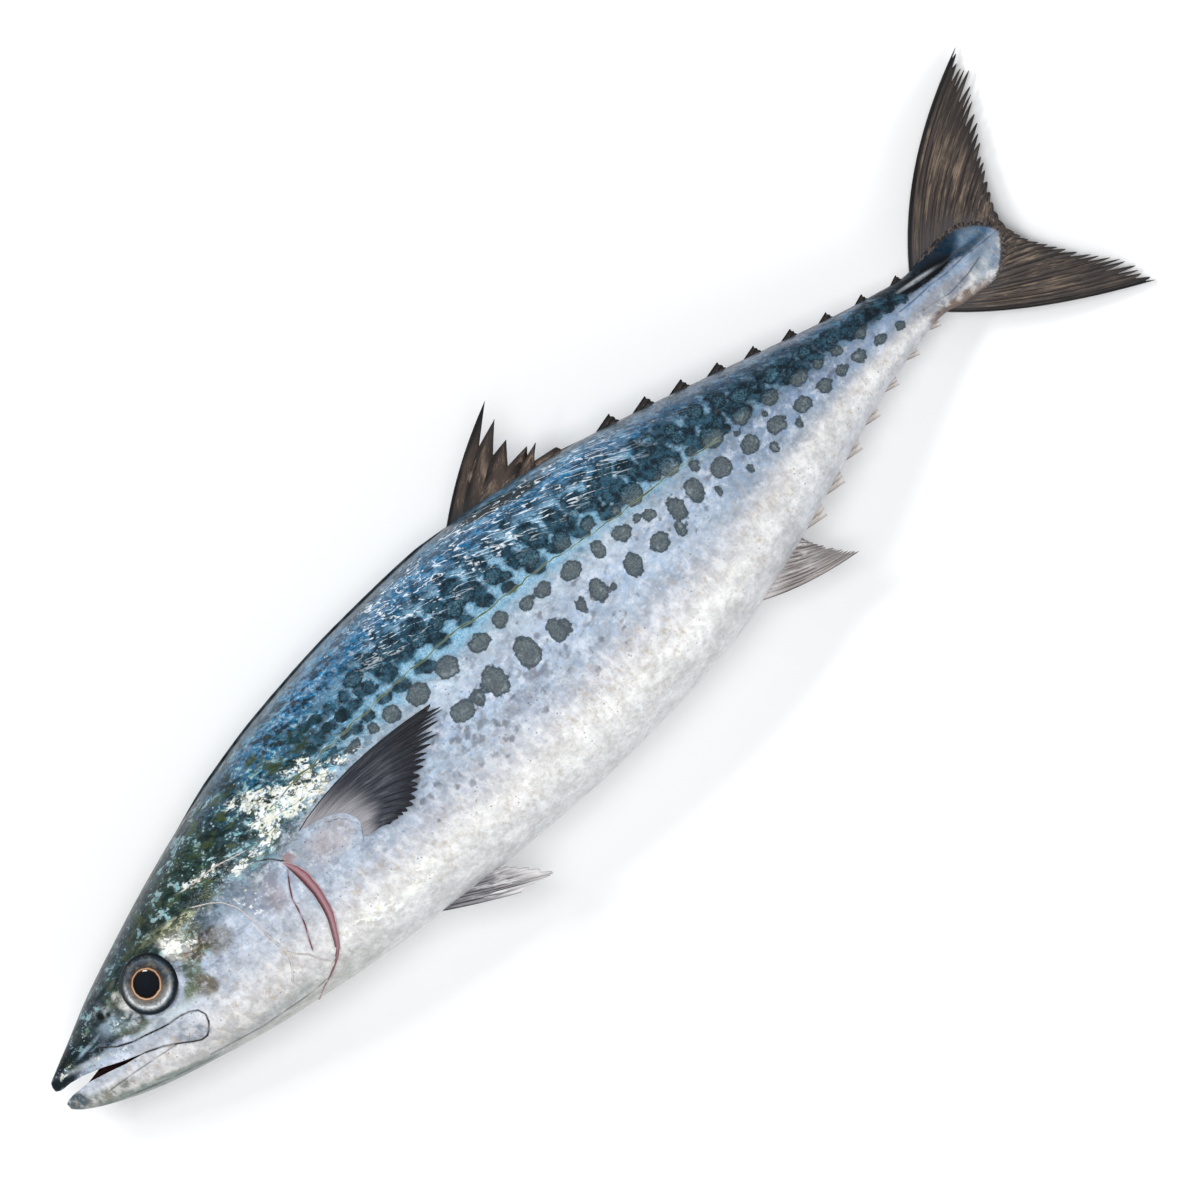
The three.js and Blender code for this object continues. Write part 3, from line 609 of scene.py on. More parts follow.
def store_pattern(piece, x, y, side):
    spot_x = np.where(side >= 0, x, x - UNDER_SHIFT)
    rise = rise_at(x, y)
    store(piece, "rise", rise)
    store(piece, "along", x)
    store(piece, "lively", lively_at(x, y, rise))
    # streak: where the painted wet highlights lie, in white streaks on the back
    store(piece, "streak", highlight_streak_at(x, rise))
    netted = window(x, 175, 225, 470, 490) * (1 - 0.5 * fade(x, 380, 440))
    store(piece, "net", netted * window(rise, 0.27, 0.37, 0.66, 0.8))
    store(piece, "spot", spot_depth(spot_x, y, clear_spots, -0.15))
    store(piece, "blotch", spot_depth(spot_x, y, dark_blotches, -0.5))
    store(piece, "speck", spot_depth(spot_x, y, specks, 0.0))
    beyond = 400 * (1 - window(x, 138, 150, 400, 420))
    store(piece, "lateral", y - LATERAL_LINE(x) + beyond)
    for name, lines in DRAWN_LINES.items():
        store(piece, name, nearest(*[line_distance(x, y, line) for line in lines]))
    outer = fade(np.hypot(rise + 0.05, np.maximum(0, x - 530) / 23), 0.72, 1.06)
    store(piece, "margin", fade(x, 506, 526) * outer)
    store_colour(piece, "patch", patch_colours(x, y))
    glare = sum(blob(x, y, *where) * strength for *where, strength in GLARE)
    store(piece, "glare", np.clip(glare, 0, 1))


store_pattern(body, points[:, 0], points[:, 1], side)
print("fields", [a.name for a in body.data.attributes if a.name in ("rise", "spot", "patch", "glare")])

# %% [markdown]
# ## The mouth
# The jaws stand a little apart. Cutting a wedge out of the closed head with a Boolean is simpler than
# lofting two jaws, and the cut faces take the cutter's own wet finish: a dark red, painted nearly black as
# the shade inside the mouth. In front the wedge goes right through; further back it leaves the floor of the
# mouth standing.

# %% Cut the gape
GAPE_UPPER = [
    (-9, -1.5), (-0.9, -3.5), (1.5, -4.6), (6.5, -4.8), (13, -6.2), (21.6, -9.1), (30.2, -12.9),
    (39.7, -16.5),
]
GAPE_LOWER = [(30.2, -14.6), (21.6, -12.1), (13, -9.9), (4.3, -9.3), (0.8, -9.6), (-0.9, -10.5), (-9, -12.5)]
MOUTH_THROUGH_X, MOUTH_FLOOR_HALF = 17.0, 3.2


def finish_named(name):
    made = bpy.data.materials.new(name)
    made.use_nodes = True
    return made


skin_finish = finish_named("wet_skin")
mouth_finish = finish_named("mouth_lining")


def prism(name, outline, low, high):
    """A closed block with the outline as its base, made from a filled circle that is extruded."""
    fresh()
    bpy.ops.mesh.primitive_circle_add(vertices=len(outline), radius=1, fill_type="NGON")
    block = bpy.context.object
    block.name = name
    write_points(block, place([(px, py, low) for px, py in outline]))
    bpy.ops.object.mode_set(mode="EDIT")
    bpy.ops.mesh.select_all(action="SELECT")
    bpy.ops.mesh.extrude_region_move(TRANSFORM_OT_translate={"value": (0, 0, (high - low) * MM)})
    bpy.ops.mesh.select_all(action="SELECT")
    bpy.ops.mesh.normals_make_consistent(inside=False)
    bpy.ops.object.mode_set(mode="OBJECT")
    return block


def cut(piece, cutter):
    fresh()
    bpy.context.view_layer.objects.active = piece
    piece.select_set(True)
    away = piece.modifiers.new("cut", "BOOLEAN")
    away.operation, away.object, away.solver = "DIFFERENCE", cutter, "EXACT"
    away.material_mode = "TRANSFER"
    bpy.ops.object.modifier_apply(modifier="cut")
    bpy.data.objects.remove(cutter)


body.data.materials.append(skin_finish)
BELOW_FISH, ABOVE_FISH = -20.0, 90.0
gape = prism("gape", GAPE_UPPER + GAPE_LOWER, BELOW_FISH, ABOVE_FISH)
gape.data.materials.append(mouth_finish)
jaw_plane = float(plane_at(20.0))
floor_outline = [(9, -40), (80, -40), (80, 20), (26, 20), (MOUTH_THROUGH_X + 3, -8.4), (9, -10.4)]
mouth_floor = prism("mouth_floor", floor_outline, jaw_plane - MOUTH_FLOOR_HALF, jaw_plane + MOUTH_FLOOR_HALF)
mouth_floor.data.materials.append(mouth_finish)
cut(gape, mouth_floor)
cut(body, gape)
print("body with mouth", len(body.data.polygons), "faces,", [m.name for m in body.data.materials])

# %% [markdown]
# ## Tools for painting with nodes
# A finish is a small graph. These helpers add a node or two and return the output, so that a finish reads as
# a few lines of arithmetic. Sizes are given in millimetres and turned into the noise's own scale.

# %% Node helpers
class Paint:
    """Adds nodes to one material."""

    def __init__(self, material):
        self.tree = material.node_tree
        self.shader = self.tree.nodes["Principled BSDF"]
        self.place = self.node("ShaderNodeTexCoord").outputs["Object"]

    def node(self, kind, **settings):
        made = self.tree.nodes.new(kind)
        for name, value in settings.items():
            setattr(made, name, value)
        return made

    def plug(self, socket, value):
        if isinstance(value, bpy.types.NodeSocket):
            self.tree.links.new(value, socket)
        elif value is not None:
            socket.default_value = value

    def field(self, name):
        """A number that was stored on the vertices."""
        return self.node("ShaderNodeAttribute", attribute_name=name).outputs["Fac"]

    def maths(self, operation, first, second=None, third=None, clamp=False):
        made = self.node("ShaderNodeMath", operation=operation, use_clamp=clamp)
        for socket, value in zip(made.inputs, (first, second, third)):
            self.plug(socket, value)
        return made.outputs[0]

    def times(self, *values):
        """The product of two or more values."""
        product = values[0]
        for value in values[1:]:
            product = self.maths("MULTIPLY", product, value)
        return product

    def plus(self, first, second):
        return self.maths("ADD", first, second)

    def scaled(self, value, factor, offset, clamp=False):
        return self.maths("MULTIPLY_ADD", value, factor, offset, clamp=clamp)

    def larger(self, first, second):
        return self.maths("MAXIMUM", first, second)

    def size_of(self, value):
        return self.maths("ABSOLUTE", value)

    def fade(self, value, start, end, low=0.0, high=1.0):
        """Goes smoothly from low to high as the value goes from start to end."""
        made = self.node("ShaderNodeMapRange", interpolation_type="SMOOTHSTEP")
        names = ("Value", "From Min", "From Max", "To Min", "To Max")
        for name, entry in zip(names, (value, start, end, low, high)):
            self.plug(made.inputs[name], entry)
        return made.outputs[0]

    def slanted(self, lean, stretch, shift=0.0):
        """Coordinates that draw a pattern out along a line sloping down to the rear by this angle."""
        turned = self.node("ShaderNodeVectorRotate", rotation_type="Z_AXIS")
        self.plug(turned.inputs["Vector"], self.place)
        turned.inputs["Angle"].default_value = lean
        drawn = self.node("ShaderNodeVectorMath", operation="MULTIPLY_ADD")
        self.plug(drawn.inputs[0], turned.outputs[0])
        drawn.inputs[1].default_value = (1 / stretch, 1, 1)
        drawn.inputs[2].default_value = (shift, shift, shift)
        return drawn.outputs[0]

    def noise(self, size, detail=2.0, rough=0.5, vector=None, twist=0.0):
        made = self.node("ShaderNodeTexNoise")
        self.plug(made.inputs["Vector"], vector or self.place)
        names = ("Scale", "Detail", "Roughness", "Distortion")
        for name, value in zip(names, (1 / (size * MM), detail, rough, twist)):
            made.inputs[name].default_value = value
        return made.outputs["Fac"]

    def cells(self, size, output="Distance", vector=None):
        made = self.node("ShaderNodeTexVoronoi")
        self.plug(made.inputs["Vector"], vector or self.place)
        made.inputs["Scale"].default_value = 1 / (size * MM)
        return made.outputs[output]

    def ramp(self, value, stops):
        made = self.node("ShaderNodeValToRGB")
        self.plug(made.inputs["Fac"], value)
        entries = made.color_ramp.elements
        while len(entries) < len(stops):
            entries.new(1.0)
        for entry, (where, code) in zip(entries, stops):
            entry.position = where
            entry.color = (*rgb(code), 1)
        return made.outputs["Color"]

    def mix(self, amount, first, second):
        """From the first colour to the second as the amount goes from 0 to 1."""
        made = self.node("ShaderNodeMix", data_type="RGBA", clamp_factor=True)
        self.plug(made.inputs["Factor"], amount)
        for socket, value in ((made.inputs[6], first), (made.inputs[7], second)):
            self.plug(socket, (*rgb(value), 1) if isinstance(value, str) else value)
        return made.outputs[2]

    def bump(self, height, distance, normal=None):
        """Relief of a height from 0 to 1, standing so many millimetres high."""
        made = self.node("ShaderNodeBump")
        made.inputs["Distance"].default_value = distance * MM
        made.inputs["Strength"].default_value = 1.0
        self.plug(made.inputs["Height"], height)
        self.plug(made.inputs["Normal"], normal)
        return made.outputs["Normal"]

    def finish(self, colour, roughness, normal=None, **sockets):
        self.plug(self.shader.inputs["Base Color"], colour)
        self.plug(self.shader.inputs["Roughness"], roughness)
        self.plug(self.shader.inputs["Normal"], normal)
        self.plug(self.shader.inputs["Coat Normal"], normal)
        for name, value in sockets.items():
            self.shader.inputs[name.replace("_", " ")].default_value = value


print("paint helpers ready")

# %% [markdown]
# ## The skin
# Fresh mackerel skin has no plain colour anywhere. Three ramps, for head, trunk and rear, give the ground
# from belly to back, and their bands have ragged edges. The ramps also carry painted light: painted shade
# that darkens them towards the belly's edge, and a painted highlight in a pale band just under the back's
# edge. The back is marbled, dark against bright blue; the flank is made of small silver cells; the belly has
# beige freckles. Over that come the spots, painted wet highlights in white streaks, glare on the shoulder
# and thin lines along the bones, with painted shade along the creases. A clear coat makes it wet.

# %% Ramps from belly to back
# Each ramp darkens towards the belly's edge as painted shade, and has a pale band just under the back's edge
# as a painted highlight.
HEAD_RAMP = [
    (0.0, "b3b4af"), (0.05, "c4c4c1"), (0.12, "cfcecf"), (0.19, "dcdbdd"), (0.25, "dfe1e7"), (0.32, "c2c9d4"),
    (0.4, "c3cbd9"), (0.52, "b7c4d8"), (0.58, "9caabe"), (0.645, "66798a"), (0.7, "42565a"), (0.76, "34484b"),
    (0.82, "273f42"), (0.9, "27424c"), (0.955, "2c4452"), (0.975, "4d5c65"), (1.0, "232c33"),
]
TRUNK_RAMP = [
    (0.0, "cfd0d1"), (0.03, "d6d7d8"), (0.08, "e4e5e6"), (0.13, "f1f1f0"), (0.18, "efeeec"),
    (0.23, "dddee1"), (0.28, "ccd0da"), (0.34, "b2bece"), (0.42, "b4c5d9"), (0.52, "b3c3d8"),
    (0.59, "bccbda"), (0.65, "9ab8cd"), (0.7, "6592a9"), (0.76, "38647b"), (0.82, "2d5d79"),
    (0.87, "3a7398"), (0.93, "4484b3"), (0.97, "5f8fb0"), (1.0, "4b5e6c"),
]
REAR_RAMP = [
    (0.0, "c3c5cb"), (0.07, "cfd2d8"), (0.16, "eaebec"), (0.27, "e6e4e4"), (0.37, "aeb8c6"), (0.46, "92a6be"),
    (0.55, "92a5bf"), (0.63, "7a8fa8"), (0.7, "45586b"), (0.78, "283b49"), (0.86, "2a465c"), (0.93, "406380"),
    (0.975, "8996a7"), (1.0, "4f5c69"),
]


def ground(paint):
    ragged = paint.scaled(paint.noise(3.0, 4, 0.7), 0.22, -0.11)
    coarse = paint.scaled(paint.noise(15, 2), 0.12, -0.06)
    band = paint.plus(paint.plus(paint.field("rise"), ragged), coarse)
    share = paint.scaled(band, 0.5, 0.5, clamp=True)
    along = paint.field("along")
    head, trunk, rear = (paint.ramp(share, stops) for stops in (HEAD_RAMP, TRUNK_RAMP, REAR_RAMP))
    colour = paint.mix(paint.fade(along, 110, 172), head, trunk)
    return paint.mix(paint.fade(along, 335, 425), colour, rear)


def laid_patches(paint, colour):
    patch = paint.node("ShaderNodeAttribute", attribute_name="patch")
    rough_edge = paint.scaled(paint.noise(2.4, 4, 0.75), 0.8, -0.4)
    cover = paint.fade(paint.plus(patch.outputs["Alpha"], rough_edge), 0.12, 0.72)
    cover = paint.times(cover, paint.fade(patch.outputs["Alpha"], 0.04, 0.3))
    return paint.mix(cover, colour, patch.outputs["Color"])


def marbled(paint, colour):
    """Dark and bright veins that run slanting down to the rear, strong on the back, faint below."""
    lively = paint.field("lively")
    slant = paint.slanted(0.5, 2.0)
    broad = paint.noise(5.2, 4, 0.68, vector=slant, twist=0.6)
    fine = paint.noise(1.6, 3, 0.7, vector=paint.slanted(0.5, 1.7))
    veins = paint.plus(paint.times(broad, 0.66), paint.times(fine, 0.34))
    forward = paint.fade(paint.field("along"), 205, 150)
    dark = paint.mix(forward, "0b2130", "0d2624")
    light = paint.mix(forward, "93c6e6", "a9d6de")
    dark_amount = paint.times(paint.fade(veins, 0.5, 0.44), paint.maths("POWER", lively, 0.8))
    colour = paint.mix(dark_amount, colour, dark)
    light_amount = paint.times(paint.fade(veins, 0.535, 0.59), lively, 0.9)
    colour = paint.mix(light_amount, colour, light)
    olive = paint.fade(paint.noise(7.5, 4, 0.72, vector=slant), 0.52, 0.62)
    olive = paint.times(olive, forward, lively)
    colour = paint.mix(paint.times(olive, 0.7), colour, "4c5c31")
    sparkle = paint.times(paint.fade(paint.cells(3.1), 0.2, 0.1), paint.fade(paint.noise(8, 2), 0.5, 0.62))
    return paint.mix(paint.times(sparkle, lively, 0.8), colour, "d8edf2")


def silver_cells(paint, colour):
    """Small silver cells, each a little lighter, darker, greyer or bluer, under a cloudy shading."""
    bent_place = paint.node("ShaderNodeVectorMath", operation="MULTIPLY_ADD")
    shake = paint.node("ShaderNodeTexNoise")
    paint.plug(shake.inputs["Vector"], paint.place)
    shake.inputs["Scale"].default_value = 1 / (1.6 * MM)
    paint.plug(bent_place.inputs[0], shake.outputs["Color"])
    bent_place.inputs[1].default_value = (1.5 * MM,) * 3
    paint.plug(bent_place.inputs[2], paint.place)
    cell = paint.node("ShaderNodeSeparateColor")
    paint.plug(cell.inputs[0], paint.cells(1.55, output="Color", vector=bent_place.outputs[0]))
    tiny = paint.scaled(cell.outputs[0], 0.1, 0.95)
    cloud = paint.fade(paint.noise(2.6, 4, 0.7), 0.3, 0.7, 0.87, 1.1)
    wide = paint.fade(paint.noise(10, 3, 0.62), 0.34, 0.66, 0.86, 1.12)
    depth = paint.fade(paint.field("rise"), 0.4, 0.75, 0.87, 0.72)
    tone = paint.node("ShaderNodeHueSaturation")
    shaded = paint.times(tiny, cloud, wide, depth)
    paint.plug(tone.inputs["Value"], shaded)
    paint.plug(tone.inputs["Saturation"], paint.scaled(cell.outputs[1], 0.5, 0.7))
    paint.plug(tone.inputs["Color"], colour)
    return tone.outputs[0]


def freckled(paint, colour):
    """Beige mottling low on the flank, lavender smudges above it and pin-prick specks."""
    rise = paint.field("rise")
    low = paint.times(paint.fade(rise, -0.97, -0.75), paint.fade(rise, -0.14, -0.5))
    upright = paint.slanted(1.45, 1.8)
    mottle = paint.fade(paint.noise(2.6, 4, 0.78, vector=upright), 0.5, 0.66)
    where = paint.fade(paint.noise(17, 2), 0.3, 0.62)
    amount = paint.times(low, mottle, where, 0.6)
    colour = paint.mix(amount, colour, "b39c80")
    bright = paint.times(low, paint.fade(paint.noise(4.2, 3, 0.6, vector=upright), 0.48, 0.66))
    colour = paint.mix(paint.times(bright, 0.4), colour, "f7f7f4")
    middle = paint.times(paint.fade(rise, -0.55, -0.3), paint.fade(rise, 0.4, 0.2))
    middle = paint.times(middle, paint.fade(paint.field("along"), 505, 470))
    smudge = paint.times(middle, paint.fade(paint.noise(7, 4, 0.72), 0.5, 0.66))
    smudge = paint.times(smudge, paint.fade(paint.field("along"), 380, 250, 0.2, 1))
    colour = paint.mix(paint.times(smudge, 0.55), colour, "7a8192")
    pale = paint.times(middle, paint.fade(paint.noise(5.5, 4, 0.7), 0.5, 0.68))
    colour = paint.mix(paint.times(pale, 0.45), colour, "e6edf7")
    pins = paint.times(paint.fade(paint.cells(2.7), 0.2, 0.09), paint.fade(paint.noise(10, 2), 0.46, 0.6))
    wide = paint.times(paint.fade(rise, -0.95, -0.75), paint.fade(rise, 0.4, 0.2))
    return paint.mix(paint.times(pins, wide, 0.7), colour, "66605e")


def thin_lines(paint, size, lean, stretch, width, vector_shift=0.0):
    """Thin wandering lines: the places where a stretched noise crosses its middle value."""
    value = paint.noise(size, 2, 0.5, vector=paint.slanted(lean, stretch, vector_shift))
    return paint.fade(paint.size_of(paint.maths("SUBTRACT", value, 0.5)), width, width * 0.35)


def painted_highlight_streaks(paint, colour):
    """Painted wet highlights: white streaks on the back in front of the raised fin and behind it, darker cuts
    beside them.
    """
    wet = paint.field("streak")
    broken = paint.fade(paint.noise(5, 3, 0.75), 0.42, 0.55)
    long = thin_lines(paint, 3.6, 0.46, 7.0, 0.03)
    white = paint.times(long, broken, wet)
    dashes = paint.fade(paint.noise(1.4, 2, 0.6, vector=paint.slanted(0.42, 5.5)), 0.65, 0.7)
    white = paint.larger(white, paint.times(dashes, paint.fade(wet, 0.0, 0.9)))
    cuts = paint.times(thin_lines(paint, 3.2, 0.5, 6.0, 0.035, 0.37), paint.fade(wet, 0.0, 0.4))
    colour = paint.mix(paint.times(cuts, 0.8), colour, "1c3a4d")
    return paint.mix(paint.times(white, 0.85), colour, "e6f0f8")


def spotted(paint, colour):
    """Nets of light blue between the crowded blotches, then blotches, clear spots and specks."""
    fine = paint.scaled(paint.noise(1.4, 2, 0.6), 1.2, -0.6)
    lobes = paint.scaled(paint.noise(3.4, 2, 0.5), 3.0, -1.55)
    edge = paint.plus(fine, lobes)
    grain = paint.noise(0.9, 3, 0.75)
    cloud = paint.noise(4.6, 3, 0.6)
    up = paint.fade(paint.field("rise"), 0.34, 0.5)
    high = paint.plus(paint.field("blotch"), edge)
    spot = paint.plus(paint.field("spot"), edge)
    gap = paint.times(paint.fade(paint.larger(high, spot), 0.0, -1.6), paint.field("net"))
    net = paint.mix(paint.fade(grain, 0.4, 0.6), "6fa3c4", "a9cde2")
    colour = paint.mix(paint.times(gap, 0.8), colour, net)
    shade = paint.plus(paint.times(cloud, 0.62), paint.times(grain, 0.38))
    dark = paint.mix(paint.fade(shade, 0.42, 0.62), "07141c", "33586b")
    dark = paint.mix(paint.fade(paint.field("along"), 150, 215), "12302f", dark)
    colour = paint.mix(paint.fade(high, -0.35, 0.3, 0, 0.92), colour, dark)
    middle = paint.mix(
        paint.fade(grain, 0.36, 0.66), paint.mix(up, "414c53", "1b323d"), paint.mix(up, "646e6e", "44687a"),
    )
    middle = paint.mix(paint.fade(cloud, 0.54, 0.7, 0, 0.6), middle, paint.mix(up, "8f9a9e", "6797ae"))
    from_rim = paint.plus(spot, paint.scaled(grain, 4.0, -2.0))
    inner = paint.mix(paint.fade(from_rim, -0.1, 1.9), paint.mix(up, "313d45", "0d1d27"), middle)
    colour = paint.mix(paint.fade(spot, -0.35, 0.25, 0, 0.95), colour, inner)
    small = paint.plus(paint.field("speck"), fine)
    return paint.mix(paint.fade(small, -0.4, 0.7, 0, 0.6), colour, "54525a")


def glared(paint, colour):
    """Where light breaks on the wet shoulder: ragged cream flakes, crossed by dark olive veins."""
    glare = paint.field("glare")
    broad = paint.noise(5.5, 4, 0.66, vector=paint.slanted(0.35, 1.6), twist=0.4)
    fine = paint.noise(1.8, 3, 0.7, vector=paint.slanted(0.35, 1.4))
    flakes = paint.plus(paint.times(broad, 0.68), paint.times(fine, 0.32))
    lit = paint.fade(paint.scaled(glare, 0.14, flakes), 0.57, 0.62)
    lit = paint.times(lit, paint.fade(glare, 0.06, 0.3), paint.fade(paint.cells(3.4), 0.14, 0.24))
    warm = paint.mix(paint.fade(paint.noise(3.2, 3), 0.42, 0.58), "efeedd", "f8fbfd")
    warm = paint.mix(paint.fade(fine, 0.52, 0.4, 0, 0.6), warm, "a3bcbf")
    colour = paint.mix(paint.times(lit, 0.85), colour, warm)
    veins = paint.larger(
        thin_lines(paint, 6.0, 0.6, 2.2, 0.016, 0.11), thin_lines(paint, 7.0, -0.25, 2.0, 0.013, 0.53),
    )
    seen = paint.times(veins, paint.fade(glare, 0.08, 0.5), paint.fade(paint.field("rise"), 0.0, 0.2))
    return paint.mix(paint.times(seen, 0.7), colour, "46503a")


def lined(paint, colour):
    """The side line, pale bones, creases painted dark as shade, and the red line on the gill cover."""
    broken = paint.scaled(paint.fade(paint.noise(7, 2), 0.38, 0.55), 0.65, 0.35)
    wave = paint.scaled(paint.noise(6, 1, 0.4), 3.0, -1.5)
    lateral = paint.size_of(paint.plus(paint.field("lateral"), wave))
    colour = paint.mix(paint.fade(lateral, 0.8, 0.4, 0, 0.22), colour, "b9c7ae")
    colour = paint.mix(paint.times(paint.fade(lateral, 0.4, 0.14), broken), colour, "4f5b3c")
    bone = paint.size_of(paint.field("bone"))
    colour = paint.mix(paint.times(paint.fade(bone, 1.1, 0.5), broken, 0.75), colour, "5d5a5c")
    colour = paint.mix(paint.fade(bone, 0.5, 0.25, 0, 0.85), colour, "cfc6c0")
    rift = paint.size_of(paint.field("rift"))
    colour = paint.mix(paint.fade(rift, 2.2, 0.4, 0, 0.45), colour, "8b6f73")
    colour = paint.mix(paint.times(paint.fade(rift, 0.6, 0.2), broken), colour, "5d3135")
    above = paint.noise(1.1, 3, 0.6, vector=paint.slanted(-0.75, 6.0))
    below = paint.noise(1.1, 3, 0.6, vector=paint.slanted(0.75, 6.0))
    upper = paint.fade(paint.field("rise"), -0.25, 0.15)
    rays = paint.plus(paint.times(above, upper), paint.times(below, paint.maths("SUBTRACT", 1.0, upper)))
    margin = paint.plus(paint.field("margin"), paint.scaled(rays, 1.0, -0.5))
    brown = paint.mix(paint.fade(rays, 0.42, 0.62), "272221", "63574f")
    colour = paint.mix(paint.fade(margin, 0.3, 0.62, 0, 0.95), colour, brown)
    crease = paint.size_of(paint.field("crease"))
    # Painted shade along the creases: a soft darker halo beside them, then a dark line in them.
    colour = paint.mix(paint.fade(crease, 1.7, 0.3, 0, 0.4), colour, "5b5750")
    colour = paint.mix(paint.times(paint.fade(crease, 0.62, 0.2), broken), colour, "14161c")
    fold = paint.size_of(paint.field("fold"))
    return paint.mix(paint.times(paint.fade(fold, 0.75, 0.15), broken, 0.6), colour, "3a3f45"), crease


def paint_skin(material):
    paint = Paint(material)
    colour = laid_patches(paint, ground(paint))
    colour = marbled(paint, colour)
    colour = silver_cells(paint, colour)
    colour = freckled(paint, colour)
    colour = spotted(paint, colour)
    colour = painted_highlight_streaks(paint, colour)
    colour = glared(paint, colour)
    colour, crease = lined(paint, colour)
    normal = paint.bump(paint.noise(1.3, 3, 0.6), 0.07)
    normal = paint.bump(paint.noise(5.0, 3, 0.6, vector=paint.slanted(0.5, 1.8)), 0.5, normal=normal)
    normal = paint.bump(paint.fade(crease, 0.0, 0.8), 0.4, normal=normal)
    roughness = paint.scaled(paint.noise(2.0, 2), 0.3, 0.2)
    paint.finish(colour, roughness, normal, Coat_Weight=0.2, Coat_Roughness=0.07, Specular_IOR_Level=0.2)


paint_skin(skin_finish)
print("skin painted with", len(skin_finish.node_tree.nodes), "nodes")


# %% The wet inside of the mouth: dark red, painted nearly black as its shade
def paint_mouth(material):
    paint = Paint(material)
    # dark red painted nearly black: painted shade inside the mouth
    colour = paint.mix(paint.fade(paint.noise(3.0, 3, 0.6), 0.35, 0.65), "0b0607", "3b191b")
    paint.finish(colour, 0.35, paint.bump(paint.noise(1.2, 2), 0.3), Coat_Weight=0.1, Specular_IOR_Level=0.1)


paint_mouth(mouth_finish)


# %% [markdown]
# ## Putting a piece on the fish
# Each finished piece rides on the fish's one body, takes its finish, and stands for the plain solid
# underneath it, which is then hidden.


def settle(piece, node="fish"):
    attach(piece, "root")
    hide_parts(node)
    print(piece.name, len(piece.data.polygons), "faces")


def dress(piece, finish, node="fish"):
    """Gives a piece its finish and settles it on the fish."""
    piece.data.materials.append(finish)
    settle(piece, node)


settle(body)

# %% [markdown]
# ## The eyes
# A fish's eye is a flat ball behind a clear front. From the middle out there is a black pupil, a thin
# copper ring, a brown then silver iris and a dark edge. A sphere is pressed flat and its rim drawn out into
# a thin flange that covers the edge of the socket. The rings are painted by distance from the middle, lighter
# on the lower left as a painted highlight and darker elsewhere as painted shade.

# %% Model an eye
EYE_BULGE, EYE_BACK = 3.4, 4.0
EYE_FLANGE_HEIGHT, EYE_OVERLAP = 0.3, 0.35


def make_eye(name, side):
    fresh()
    bpy.ops.mesh.primitive_uv_sphere_add(segments=96, ring_count=64, radius=1)
    eye = bpy.context.object
    eye.name = name
    ball = read_points(eye)
    flat = np.hypot(ball[:, 0], ball[:, 1])
    reach = np.arccos(np.clip(ball[:, 2], -1, 1)) / (math.pi / 2)
    front = ball[:, 2] >= -1e-6
    out = np.where(front, np.minimum(reach, 1.0), flat)
    swell = EYE_BULGE * (1 - out ** 2.4) * (1 - 0.12 * np.exp(-(out / 0.42) ** 4))
    height = np.where(front, swell + EYE_FLANGE_HEIGHT, -EYE_BACK * (1 - out ** 2) ** 0.5)
    direction = ball[:, :2] / np.maximum(flat, 1e-9)[:, None]
    radius = EYE_RADIUS + EYE_OVERLAP
    local = np.column_stack([direction * (out * radius)[:, None], height])
    facing = flank_normal(EYE_X, EYE_Y, side)
    turn = Vector((0, 0, 1)).rotation_difference(facing).to_matrix()
    spot = np.array([EYE_X, EYE_Y, float(plane_at(EYE_X)) + side * float(flank_at(EYE_X, EYE_Y))])
    write_points(eye, place(local @ np.array(turn).T + spot))
    store(eye, "ring", out)
    # which way the painted highlight on the iris lies
    store(eye, "lower_left", direction @ np.array([-0.6, -0.8]) * (flat > 1e-6))
    bpy.ops.object.shade_smooth()
    return eye


def paint_eye(material):
    paint = Paint(material)
    wobble = paint.scaled(paint.noise(2.2, 3, 0.6), 0.05, -0.025)
    ring = paint.plus(paint.field("ring"), wobble)
    # The same rings twice, painted lit and painted in shade: the lighter copy is a painted highlight on the
    # lower left of the iris, the darker copy painted shade over the rest.
    shaded_iris = paint.ramp(ring, [
        (0.0, "060d18"), (0.3, "050911"), (0.42, "030407"), (0.45, "17110f"), (0.468, "9a7052"),
        (0.495, "c39a78"), (0.52, "4b382d"), (0.6, "2c3138"), (0.68, "3b434b"), (0.78, "55606a"),
        (0.84, "2c3842"), (0.9, "151e27"), (0.96, "0a0e13"), (1.0, "151b20"),
    ])
    silver = paint.ramp(ring, [
        (0.0, "060d18"), (0.3, "050911"), (0.42, "030407"), (0.45, "17110f"), (0.468, "a67a5a"),
        (0.495, "d6b391"), (0.52, "6d5c50"), (0.6, "6f6b69"), (0.7, "8b8f91"), (0.765, "dfe2e3"),
        (0.8, "c3c8cb"), (0.85, "5f6a72"), (0.9, "1b242c"), (1.0, "12171c"),
    ])
    turn = paint.plus(paint.field("lower_left"), paint.scaled(paint.noise(5, 2), 0.7, -0.35))
    colour = paint.mix(paint.fade(turn, -0.35, 0.6), shaded_iris, silver)
    plain_ring = paint.field("ring")
    outside = paint.times(paint.fade(plain_ring, 0.52, 0.6), paint.fade(plain_ring, 0.93, 0.85))
    cloud = paint.times(paint.fade(paint.noise(3, 4, 0.7), 0.45, 0.65), outside)
    colour = paint.mix(paint.times(cloud, 0.5), colour, "7d7668")
    dark = paint.times(paint.fade(paint.noise(1.3, 3, 0.7), 0.5, 0.36), outside)
    colour = paint.mix(paint.times(dark, 0.5), colour, "1d242b")
    paint.finish(colour, 0.3, None, Coat_Weight=0.4, Coat_Roughness=0.03, Specular_IOR_Level=0.05)


eye_finish = finish_named("eye_wet")
paint_eye(eye_finish)
for eye_name, eye_side in (("eye_left", 1), ("eye_right", -1)):
    dress(make_eye(eye_name + "_wet", eye_side), eye_finish, eye_name)

